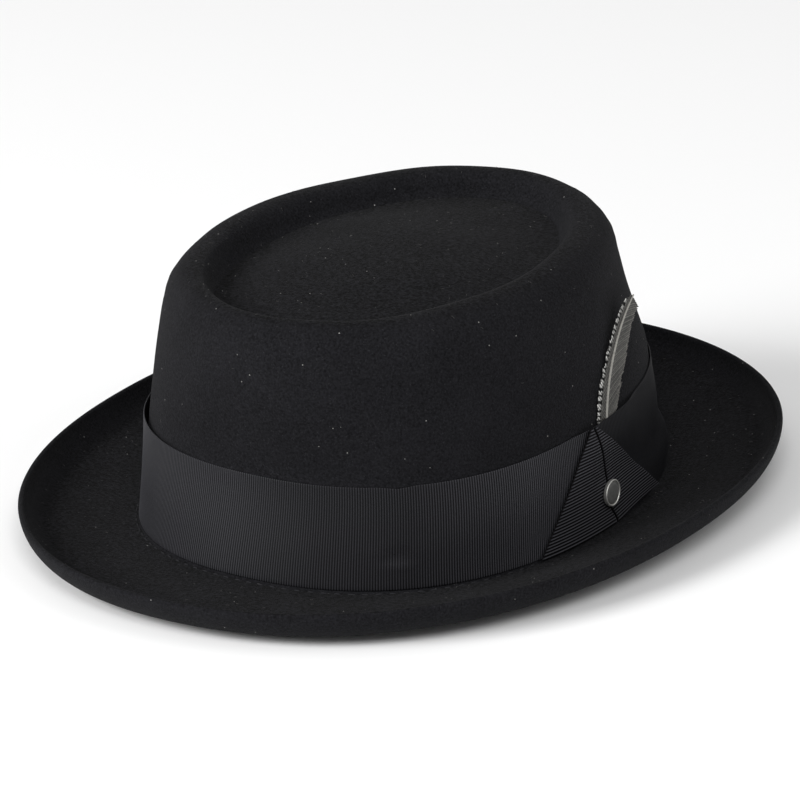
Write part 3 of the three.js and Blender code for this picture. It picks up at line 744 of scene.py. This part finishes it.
def bow_fold(name, node, apex, foot, rise=0, lift=0, sag=0):
    """A fold between its foot and its apex, each from its front to its rear end, as lengths round the wall
    from the stud. Rows run up and columns back. A rise lifts the rear end of the foot, a lift stands it off
    the ribbon, and a sag hollows the rear edge."""
    rib_rows = round(BOW_HEIGHT / BOW_RIB_PITCH) * ROWS_PER_RIB
    up = np.linspace(0, 1, rib_rows + 1)[:, None]
    across = (1 - np.cos(np.linspace(0, np.pi, BOW_COLUMNS))) / 2
    sway = -SEAM_SWAY * bell(up - SEAM_SWAY_UP, SEAM_SWAY_SPREAD) * ease(up / SEAM_SWAY_EASE)
    seam_side = 1 - across if foot[1] > BOW_REACH_REAR / 2 else across
    arc = mix(mix(foot[0], foot[1], across), mix(apex[0], apex[1], across), up) + sway * seam_side
    hollow = sag * across * 4 * up * (1 - up)
    height = RIBBON_FOOT + mix(rise * across, BOW_HEIGHT, up) - hollow
    width = mix(foot[1] - foot[0], apex[1] - apex[0], up)
    inside = np.minimum(np.minimum(across, 1 - across) * width, np.minimum(up, 1 - up) * BOW_HEIGHT)
    thick = edge_round(inside, BOW_ROUND)
    rib = np.sin(np.pi * up * (rib_rows // ROWS_PER_RIB)) ** 2
    angle = arc_angle(arc, height, HALF_WALL + RIBBON_WALL)
    base = ribbon_offset(angle, height) + RIBBON_WALL + BOW_ROOM + lift * (1 - up) * across ** 3
    half = BOW_WALL / 2
    rib_rise = BOW_RIB_DEPTH * (rib - 1) * thick
    points, quads = shell(wall_point(angle, height, base + half * (1 + thick) + rib_rise),
                          wall_point(angle, height, base + half * (1 - thick)))
    # painted highlight on the rib tops, and painted shade along the front edge
    light = BOW_PAINTED_SHINE * rib ** RIB_CREST * ease(across * width / BOW_EDGE_PAINTED_SHADE)
    paint(new_piece(name, points, quads, GROSGRAIN, node), "rib", np.tile(light.ravel(), 2))


bow_fold("bow_front_fold", "bow_fold_front",
         (BOW_APEX_SHIFT - BOW_APEX_WIDTH / 2, BOW_APEX_SHIFT - BOW_SEAM / 2),
         (-BOW_REACH_FRONT, BOW_FOOT_SHIFT - BOW_SEAM / 2))
bow_fold("bow_rear_fold", "bow_fold_rear",
         (BOW_APEX_SHIFT + BOW_SEAM / 2, BOW_APEX_SHIFT + BOW_APEX_WIDTH / 2),
         (BOW_FOOT_SHIFT + BOW_SEAM / 2, BOW_REACH_REAR), BOW_CORNER_RISE, BOW_CORNER_LIFT, BOW_EDGE_SAG)

# %% [markdown]
# ## The stud
# The stud is pressed from thin brass and plated with nickel: a flat disc with a rolled rim, held by prongs
# behind. It is a surface of revolution, so its profile is drawn once, from the middle of its back to the
# middle of its face, and turned about the wall's own outward direction. The face is brushed and dull. The rim
# is smoother, polished by wear, and carries a painted highlight: its colour is much lighter than the face.

# %% Plated brass stud
STUD_DIAMETER, STUD_WALL, STUD_RIM, STUD_RISE = 9.6, 1.5, 0.24, 0.1
STUD_HEIGHT, STUD_SHIFT, STUD_SIDES = 12.2, -0.2, 96
BEAD_RADIUS, BEAD_SINK = 1.5 * STUD_RIM, 0.25
RADIUS = STUD_DIAMETER / 2
# distance from the axis and height, on the back with its rounded edge, and on the face inside the rim
BACK_PROFILE = np.array([(RADIUS * 0.6, 0), (RADIUS - STUD_RIM, 0), (RADIUS - 0.12, 0.2), (RADIUS, 0.6)])
FACE_PROFILE = np.array([(RADIUS - 2.3 * BEAD_RADIUS, STUD_WALL - 0.2), (RADIUS * 0.5, STUD_WALL - 0.02)])


def nickel_plate():
    """Dull, faintly clouded nickel, smoother on the rim, with a painted highlight there."""
    material = new_material("brushed_nickel_plate")
    place = add(material, "ShaderNodeTexCoord", {}).outputs["Object"]
    rim = add(material, "ShaderNodeAttribute", {}, attribute_name="rim").outputs["Fac"]
    cloud = add(material, "ShaderNodeTexNoise", {"Vector": place, "Scale": 1 / (1.6 * MM), "Detail": 4})
    dull = add(material, "ShaderNodeMix",
               {"Factor": cloud.outputs["Fac"], "A": colour("#5c5c5b"), "B": colour("#7e7e7c")},
               data_type="RGBA")
    # painted highlight: the rim gets a much lighter colour than the face
    shade = add(material, "ShaderNodeMix",
                {"Factor": rim, "A": dull.outputs["Result"], "B": colour("#c4c3bf")}, data_type="RGBA")
    rough = add(material, "ShaderNodeMath", {0: rim, 1: -0.3, 2: 0.75}, operation="MULTIPLY_ADD")
    shader = add(material, "ShaderNodeBsdfPrincipled",
                 {"Base Color": shade.outputs["Result"], "Roughness": rough.outputs[0], "Metallic": 0.8})
    add(material, "ShaderNodeOutputMaterial", {"Surface": shader.outputs["BSDF"]})
    return material


def frame_at(angle, height, offset):
    """A point off the wall, and three unit vectors there: round the wall to the back, up the wall, and
    outward."""
    point = wall_point(angle, height, offset)
    before = wall_point(angle - TURN_STEP, height, offset)
    around = unit(wall_point(angle + TURN_STEP, height, offset) - before)
    rise = unit(point - wall_point(angle, height - 1, offset))
    return point, around, rise, np.cross(around, rise)


stud_height = RIBBON_FOOT + STUD_HEIGHT
stud_angle = float(arc_angle(STUD_SHIFT, stud_height, HALF_WALL + RIBBON_WALL))
stud_offset = ribbon_offset(stud_angle, stud_height) + RIBBON_WALL + BOW_ROOM + BOW_WALL + STUD_RISE
stud_point, stud_back, stud_up, stud_out = frame_at(stud_angle, stud_height, stud_offset)
bead = np.radians(np.linspace(-20, 200, 15))
rim_profile = np.stack([RADIUS - BEAD_RADIUS + BEAD_RADIUS * np.cos(bead),
                        STUD_WALL - BEAD_SINK + BEAD_RADIUS * np.sin(bead)], axis=1)
profile = np.concatenate([BACK_PROFILE, rim_profile, FACE_PROFILE])
spin = full_turn(STUD_SIDES)[:, None]
disc = (stud_point + profile[:, :1, None] * (np.cos(spin) * stud_back + np.sin(spin) * stud_up)
        + profile[:, 1:, None] * stud_out)
points, quads, caps = capped(disc, stud_point, stud_point + STUD_WALL * stud_out)
stud = new_piece("nickel_stud", points, quads, nickel_plate(), "stud_button", caps)
on_rim = np.zeros(len(profile))
on_rim[len(BACK_PROFILE) - 1:len(BACK_PROFILE) + len(rim_profile)] = 1
paint(stud, "rim", np.append(np.repeat(on_rim, STUD_SIDES), [0, 0]))

# %% [markdown]
# ## The feathers
# Two feathers are tucked behind the ribbon, one on the other. The lower one is barred black and white, and
# only its front edge shows, as a line of white tufts. The upper one is grey, with a pale quill nearer its
# front edge. A vane is a row of barbs that leave the quill at a slant, hooked together until near their ends.
# So each row of the grid is one barb's line, not a level cut: the ridges, the slant and the frayed edge then
# all come from the same rows.

# %% Places on a feather
FEATHER_LENGTH, FEATHER_TUCK = 49.5, 3.5
FOOT_LEAN, TIP_LEAN = np.radians(71.7), np.radians(27.5)
FEATHER_BEND, FEATHER_CAMBER, TUCK_SLOPE = 0.8, 0.3, 0.12
BARRED_SHARE, QUILL_DIAMETER = 0.97, 1.0
BARB_PITCH = 1.2
# share of the length, front and rear width as shares of the full widths
VANE_ROWS = np.array([(0.00, 1.00, 0.70), (0.30, 0.80, 0.95), (0.55, 0.57, 0.93), (0.88, 0.52, 0.62),
                      (0.97, 0.33, 0.25), (1.00, 0.10, 0.06)])
foot_top = RIBBON_FOOT + RIBBON_WIDTH
foot_angle = float(arc_angle(FEATHER_SHIFT, foot_top, HALF_WALL))
foot_point, foot_back, foot_up, foot_out = frame_at(foot_angle, foot_top, 0)


def feather_place(distance, sideways, off, length):
    """Points of a feather from the distance along its quill, the distance to the rear of it, and the distance
    off the felt's middle. The quill is an arc in the plane that touches the wall at the ribbon's edge, and
    the feather curves in towards the crown with the square of both distances."""
    radius = FEATHER_LENGTH / (FOOT_LEAN - TIP_LEAN)
    slope = FOOT_LEAN - distance / radius
    back = radius * (np.sin(FOOT_LEAN) - np.sin(slope)) + sideways * np.sin(slope)
    up = radius * (np.cos(slope) - np.cos(FOOT_LEAN)) - sideways * np.cos(slope)
    bend = FEATHER_BEND * np.maximum(distance / length, 0) ** 2
    bend = bend + FEATHER_CAMBER * (sideways / FEATHER_WIDTH) ** 2
    tuck = TUCK_SLOPE * np.clip(distance, -FEATHER_TUCK, 0)
    out = HALF_WALL + CLOTH_GAP + FEATHER_LIFT + off - bend + tuck
    return foot_point + back[..., None] * foot_back + up[..., None] * foot_up + out[..., None] * foot_out


# %% [markdown]
# A material for feathers reads two numbers of each point: how much painted light it has, most on the top of
# a barb and least in the gap beside it, and how dark the feather's own marking is there. Keratin is a little
# glossy, but the barbs break that up, so the shader stays rough.

# %% Feather materials
def plume(name, pale, dark):
    """Pale keratin with dark markings, and near-black painted shade in the gaps between barbs."""
    material = new_material(name)
    place = add(material, "ShaderNodeTexCoord", {}).outputs["Object"]
    barb = add(material, "ShaderNodeAttribute", {}, attribute_name="barb").outputs["Fac"]
    mark = add(material, "ShaderNodeAttribute", {}, attribute_name="mark").outputs["Fac"]
    down = add(material, "ShaderNodeTexNoise", {"Vector": place, "Scale": 1 / (0.6 * MM), "Detail": 3})
    tone = add(material, "ShaderNodeMix",
               {"Factor": mark, "A": colour(pale), "B": colour(dark)}, data_type="RGBA")
    level = add(material, "ShaderNodeMath",
                {0: down.outputs["Fac"], 1: 1.4, 2: -0.75}, operation="MULTIPLY_ADD")
    lit = add(material, "ShaderNodeMath", {0: barb, 1: level.outputs[0]}, operation="ADD", use_clamp=True)
    shadow = add(material, "ShaderNodeMix",
                 {"Factor": 0.85, "A": tone.outputs["Result"], "B": colour("#0c0c0c")}, data_type="RGBA")
    # painted light: barb tops show the feather's tone, and the gaps get near-black painted shade
    surface = add(material, "ShaderNodeMix",
                  {"Factor": lit.outputs[0], "A": shadow.outputs["Result"], "B": tone.outputs["Result"]},
                  data_type="RGBA")
    shader = add(material, "ShaderNodeBsdfPrincipled",
                 {"Base Color": surface.outputs["Result"], "Roughness": 0.65, "Specular IOR Level": 0.4})
    add(material, "ShaderNodeOutputMaterial", {"Surface": shader.outputs["BSDF"]})
    return material


GREY_FEATHER = plume("grey_wing_feather", "#9a9892", "#202021")
BARRED_FEATHER = plume("barred_black_and_white_feather", "#efeeea", "#0d0d0e")


# %% The vanes
BARB_ROWS = [0, 0, 0.35, 1, 0.35]       # how high on its barb each row lies
BARB_COLUMNS, COLUMN_CROWDING, BARB_CURVE = 15, 0.9, 1.15
BARB_RELIEF, FULL_RELIEF = 0.16, 1 / 3  # height of a barb, and the share of its length where that is reached
# share of the fray by which gaps are cut back, share of the wall that the edge loses, and how much the inner
# face rises there
GAP_CUT, EDGE_THIN, UNDER_RISE = 0.12, 0.25, 0.1
TIP_CROWD, FOOT_CROWD = 2.5, 2  # lengths over which the barbs crowd at the tip and at the foot
VANE_PART = 0.06                # gap between the two vanes on the shaft
END_LIGHT, END_POWER = 0.3, 6   # how much lighter the loose ends of the barbs are, and how fast that fades


def vane(side, column, width, length, layer, wall, slant, fray, vary):
    """One vane as two grids, outer and inner. A row starts on the quill and goes out and towards the tip. Its
    width is the table's at the place where it ends, which is found by trying a few times. Rows that would run
    past the tip or start below the tuck crowd together there. The outer face rises and falls from barb to
    barb, some barbs get more painted light than others, and each end is cut short by its own share of the fray."""
    count = int((length + FEATHER_TUCK + slant * width) / BARB_PITCH)
    rows_per_barb = len(BARB_ROWS)
    start = np.linspace(-FEATHER_TUCK - slant * width, length, count * rows_per_barb)[:, None]
    share = np.linspace(0, 1, BARB_COLUMNS) ** COLUMN_CROWDING
    full = width
    for _ in range(TRIES):
        ending = np.clip(start + slant * full, 0, length) / length
        full = width * np.interp(ending, VANE_ROWS[:, 0], VANE_ROWS[:, column])
    barb_end = np.repeat(1 - fray * rng.random(count) ** 2, rows_per_barb)[:, None]
    phase = np.tile(BARB_ROWS, count)[:, None]
    light = phase * np.repeat(rng.uniform(1 - vary, 1, count), rows_per_barb)[:, None]
    reach = full * (barb_end - GAP_CUT * fray * (1 - phase))
    sideways = side * (VANE_PART / 2 + reach * share)
    distance = start + slant * reach * share ** BARB_CURVE
    over, under = distance - length + TIP_CROWD, -FEATHER_TUCK - distance
    distance = np.where(over > 0, length - TIP_CROWD * np.exp(-over / TIP_CROWD), distance)
    distance = np.where(under > 0, -FEATHER_TUCK - FOOT_CROWD * (1 - np.exp(-under / FOOT_CROWD)), distance)
    relief = BARB_RELIEF * (phase - 1) * np.minimum(share / FULL_RELIEF, 1) - EDGE_THIN * wall * share
    front = feather_place(distance, sideways, layer + wall + relief, length)
    back = feather_place(distance, sideways, layer + UNDER_RISE * share, length)
    light = light + END_LIGHT * share ** END_POWER
    return [grid[:, ::side] for grid in (front, back, light, distance, share + 0 * start)]


def feather_piece(name, node, material, vanes, marking):
    """Joins vanes into one piece, and paints the light on each barb and the marking."""
    blocks, quads, barbs, marks, first = [], [], [], [], 0
    for front, back, light, distance, share in vanes:
        points, faces = shell(front, back)
        blocks.append(points)
        quads.append(faces + first)
        barbs.append(np.tile(light.ravel(), 2))
        marks.append(np.tile(marking(distance, share).ravel(), 2))
        first += len(points)
    piece = new_piece(name, np.concatenate(blocks), np.concatenate(quads), material, node)
    paint(piece, "barb", np.concatenate(barbs))
    paint(piece, "mark", np.concatenate(marks))


BAR_PITCH, BAR_SHARPNESS, BAR_WIDENING, BAR_NARROWING = 2.4, 2, 0.15, 0.5
FRONT_MARK, REAR_MARK = 0.55, 0.36      # how much of the grey feather's dark tone each of its vanes has


def bars(distance, share):
    """Black bars across the feather: one for each bar's pitch, which two slower waves make uneven, about as
    wide as the white between them and narrower towards the edge."""
    drift = 1.3 * np.sin(distance * 0.8) + 1.5 * np.sin(distance * 0.33)
    wave = np.sin(2 * np.pi * distance / BAR_PITCH + drift)
    return ease(wave * BAR_SHARPNESS + BAR_WIDENING - BAR_NARROWING * share)


barred_length = FEATHER_LENGTH * BARRED_SHARE
feather_piece("barred_feather", "feather_barred", BARRED_FEATHER, [
    vane(side, column, BARRED_REACH, barred_length, 0, BARRED_WALL, slant=0.6, fray=0.3, vary=0.1)
    for side, column in ((-1, 1), (1, 2))], bars)
grey_layer = BARRED_WALL + CLOTH_GAP
front_vane = vane(-1, 1, GREY_FRONT, FEATHER_LENGTH, grey_layer, GREY_WALL, slant=0.9, fray=0.03, vary=0.5)
feather_piece("grey_feather", "feather_grey", GREY_FEATHER, [front_vane],
              lambda distance, share: np.full(share.shape, FRONT_MARK))
rear_vane = vane(1, 2, GREY_REAR, FEATHER_LENGTH, grey_layer, GREY_WALL, slant=1.15, fray=0.12, vary=0.95)
feather_piece("grey_feather_rear_vane", "feather_grey", GREY_FEATHER, [rear_vane],
              lambda distance, share: np.full(share.shape, REAR_MARK))

# %% [markdown]
# The quill is a tapered tube along the same arc. Its points come from the same function as the vanes, so it
# lies on them by itself.

# %% The quill
QUILL_ROWS, QUILL_SIDES, QUILL_TAPER, QUILL_SHORT = 90, 12, 0.45, 0.3

along = np.linspace(-FEATHER_TUCK, FEATHER_LENGTH - QUILL_SHORT, QUILL_ROWS)[:, None]
quill_radius = QUILL_DIAMETER / 2 * (1 - QUILL_TAPER * np.clip(along / FEATHER_LENGTH, 0, 1) ** 2)
spin = full_turn(QUILL_SIDES)[::-1]
quill_grid = feather_place(along, quill_radius * np.cos(spin),
                           grey_layer + GREY_WALL + quill_radius * np.sin(spin), FEATHER_LENGTH)
points, quads, caps = capped(quill_grid, quill_grid[0].mean(axis=0), quill_grid[-1].mean(axis=0))
quill = new_piece("grey_feather_quill", points, quads, GREY_FEATHER, "feather_grey", caps)
paint(quill, "barb", np.ones(len(points)))
paint(quill, "mark", np.zeros(len(points)))

# %% [markdown]
# ## The stitches
# A row of stitches shows on the brim just outside the ribbon. Each one is a short length of thread that comes
# up through the felt, lies on it and goes down again, so it is a small tube whose ends are under the surface.
# They are all made at once: one array holds every stitch's start, and the next its path.

# %% Threads
THREAD, THREAD_SIDES, THREAD_STEPS = 0.42, 5, 7
# share of the arch by which both ends are sunk, how flat the arch is, how blunt the tips are, and the least
# share of their width
SUNK, ARCH_SQUARE, TIP_SQUARE, TIP_LEAST = 0.7, 4, 8, 0.03


def thread_material(name, dark, light):
    """Dull thread whose tone changes a little with its twist."""
    material = new_material(name)
    place = add(material, "ShaderNodeTexCoord", {}).outputs["Object"]
    twist = add(material, "ShaderNodeTexNoise", {"Vector": place, "Scale": 1 / (0.3 * MM), "Detail": 2})
    shade = add(material, "ShaderNodeMix",
                {"Factor": twist.outputs["Fac"], "A": colour(dark), "B": colour(light)}, data_type="RGBA")
    shader = add(material, "ShaderNodeBsdfPrincipled",
                 {"Base Color": shade.outputs["Result"], "Roughness": 0.85, "Specular IOR Level": 0.12})
    add(material, "ShaderNodeOutputMaterial", {"Surface": shader.outputs["BSDF"]})
    return material


COTTON = thread_material("black_cotton_thread", "#1c1c1e", "#333336")
WAXED_COTTON = thread_material("black_waxed_thread", "#060607", "#0f0f10")


def stitches(name, starts, ends, out, material, thread, arch=0.3):
    """Short threads from starts to ends. Each path is a low arch along the outward direction, and each
    section of it a circle that closes at both tips."""
    share = np.linspace(0, 1, THREAD_STEPS)[:, None]
    off_middle = 2 * share - 1
    rise = arch * (1 - off_middle ** ARCH_SQUARE) - arch * SUNK
    radius = thread / 2 * np.sqrt(np.clip(1 - off_middle ** TIP_SQUARE, TIP_LEAST, 1))
    beside = np.cross(out, unit(ends - starts))
    path = starts[:, None] + (ends - starts)[:, None] * share + out[:, None] * rise
    spin = full_turn(THREAD_SIDES)[:, None]
    ring = np.cos(spin) * beside[:, None, None] + np.sin(spin) * out[:, None, None]
    points, quads, caps = capped(path[:, :, None] + radius[..., None] * ring, path[:, 0], path[:, -1])
    new_piece(name, points, quads, material, None, caps)


# %% Stitches beside the ribbon
STITCH_PITCH, STITCH_LENGTH, STITCH_UNEVEN = 4.9, 2.6, 0.25
# distance of the row from the crown's foot, by how much it wanders, and the angle where it lies farthest out
STITCH_OUT, STITCH_WANDER, WANDER_ANGLE = 2.1, 0.8, np.radians(-125)

foot_ring = ring_point(WALL_RINGS[0], dense)
edge_ring = ring_point(EDGE_RING, dense)
brim_span = np.linalg.norm((edge_ring - foot_ring)[:, :2], axis=1, keepdims=True)
stitch_out = STITCH_OUT + STITCH_WANDER * np.cos(dense - WANDER_ANGLE)
seam = mix(foot_ring, edge_ring, stitch_out[:, None] / brim_span)[:, :2]
seam_length = walk(seam)
stitch_count = round(seam_length[-1] / STITCH_PITCH)
begin = np.arange(stitch_count) * seam_length[-1] / stitch_count
begin += rng.uniform(-STITCH_UNEVEN, STITCH_UNEVEN, stitch_count)


def seam_points(distance):
    """Points on the brim's upper face, at distances along the seam."""
    level = [np.interp(distance, seam_length, seam[:, axis]) for axis in (0, 1)]
    return np.stack([*level, np.full(len(distance), FELT_WALL)], axis=1)


stitches("brim_stitches_above", seam_points(begin), seam_points(begin + STITCH_LENGTH),
         np.tile([0.0, 0.0, 1.0], (stitch_count, 1)), COTTON, THREAD)
print(f"{stitch_count} stitches beside the ribbon, one every {seam_length[-1] / stitch_count:.2f} mm")

# %% [markdown]
# Two stitches of waxed thread hold the tack on the ribbon. The thread is pulled tight, so it lies at the
# bottom of the pucker and follows the ribbon's own outward direction there.

# %% Tack of black thread on the ribbon
tack_from, tack_to = np.array([-1.6, 0.4]), np.array([-0.1, 1.3])
tack_up_from, tack_up_to = np.array([0, 0.5]), np.array([0, 0.1])


def on_ribbon(along, up, proud=0):
    """Points on the ribbon's outer face, or proud of it, at a length and a height from the tack."""
    angle, height = TACK_ANGLE + along / TACK_SCALE, RIBBON_FOOT + TACK_HEIGHT + up
    offset = ribbon_offset(angle, height) + RIBBON_WALL - tack_pucker(angle, height) + proud
    return wall_point(angle, height, offset)


tack_start, tack_end = on_ribbon(tack_from, tack_up_from), on_ribbon(tack_to, tack_up_to)
tack_out = unit(on_ribbon(tack_from, tack_up_from, 1) - tack_start)
stitches("tack_stitches", tack_start, tack_end, tack_out, WAXED_COTTON, THREAD)
tack_lengths = np.linalg.norm(tack_end - tack_start, axis=1)
print(f"the tack's two stitches are {tack_lengths[0]:.1f} and {tack_lengths[1]:.1f} mm long")

# %% [markdown]
# ## Loose fibres
# Felt sheds. Short grey fibres lie on its level parts, where nothing rubs them off, and catch the light. Each
# is a thread like a stitch, only far thinner. Their places are drawn at random. The chance of each bit of
# felt goes with its area as seen from above.

# %% Fibres on the crown and the brim
FIBRE_COUNT, FIBRE_THICKNESS, FIBRE_SHORTEST, FIBRE_LONGEST, FIBRE_ARCH = 420, 0.065, 0.5, 1.8, 0.25
outer_felt = middle + HALF_WALL * facing
patch = np.cross(np.roll(outer_felt, -1, axis=1) - outer_felt, np.gradient(outer_felt, axis=0))
level_area = np.abs(patch[..., 2])
spots = rng.choice(level_area.size, FIBRE_COUNT, p=(level_area / level_area.sum()).ravel())
spot, spot_out = outer_felt.reshape(-1, 3)[spots], facing.reshape(-1, 3)[spots]
lie = unit(np.cross(spot_out, rng.normal(size=(FIBRE_COUNT, 3))))
reach = rng.uniform(FIBRE_SHORTEST, FIBRE_LONGEST, FIBRE_COUNT)[:, None] / 2
stitches("loose_grey_fibres", spot - lie * reach, spot + lie * reach, spot_out,
         thread_material("grey_wool_fibre", "#2e2e30", "#82817e"), FIBRE_THICKNESS, FIBRE_ARCH)
print(f"{FIBRE_COUNT} loose fibres, {FIBRE_SHORTEST} to {FIBRE_LONGEST} mm long")

# %% [markdown]
# ## Floor and light
# A dark hat needs soft light from most sides, or its wall goes flat black. A pale floor and a pale sky give
# that. Of three soft lamps the strongest stands fairly low in front, to the left of the camera, and draws the
# ribs and the turn of the crown. The weaker two fill in from above the camera and from the wearer's left.

# %% Floor, lamps and sky
FLOOR_HALF = 8000
LAMP_SIZE = 1600
SKY_STRENGTH = 0.42


def matte_floor():
    """Pale paper with hardly any gloss."""
    material = new_material("pale_matte_paper")
    shader = add(material, "ShaderNodeBsdfPrincipled",
                 {"Base Color": colour("#f6f6f6"), "Roughness": 0.9, "Specular IOR Level": 0.2})
    add(material, "ShaderNodeOutputMaterial", {"Surface": shader.outputs["BSDF"]})
    return material


corners = FLOOR_HALF * np.array([(-1, -1, 0), (1, -1, 0), (1, 1, 0), (-1, 1, 0)])
floor = mesh_object("floor", corners, [(0, 1, 2, 3)], matte_floor())

# each lamp's place, and its power in watts
for name, place, power in (("front_lamp", (-1500, -2600, 1800), 112),
                           ("camera_side_lamp", (1505, -1794, 2601), 42),
                           ("left_side_lamp", (2769, 742, 2007), 16)):
    lamp = bpy.data.objects.new(name, bpy.data.lights.new(name, "AREA"))
    lamp.data.size = LAMP_SIZE * MM
    lamp.data.energy = power
    aim(lamp, np.array(place), HAT_MIDDLE)
sky = bpy.data.worlds.new("pale_sky")
sky.use_nodes = True
sky.node_tree.nodes["Background"].inputs["Color"].default_value = (1, 1, 1, 1)
sky.node_tree.nodes["Background"].inputs["Strength"].default_value = SKY_STRENGTH
bpy.context.scene.world = sky
bpy.context.scene.view_settings.view_transform = "Standard"
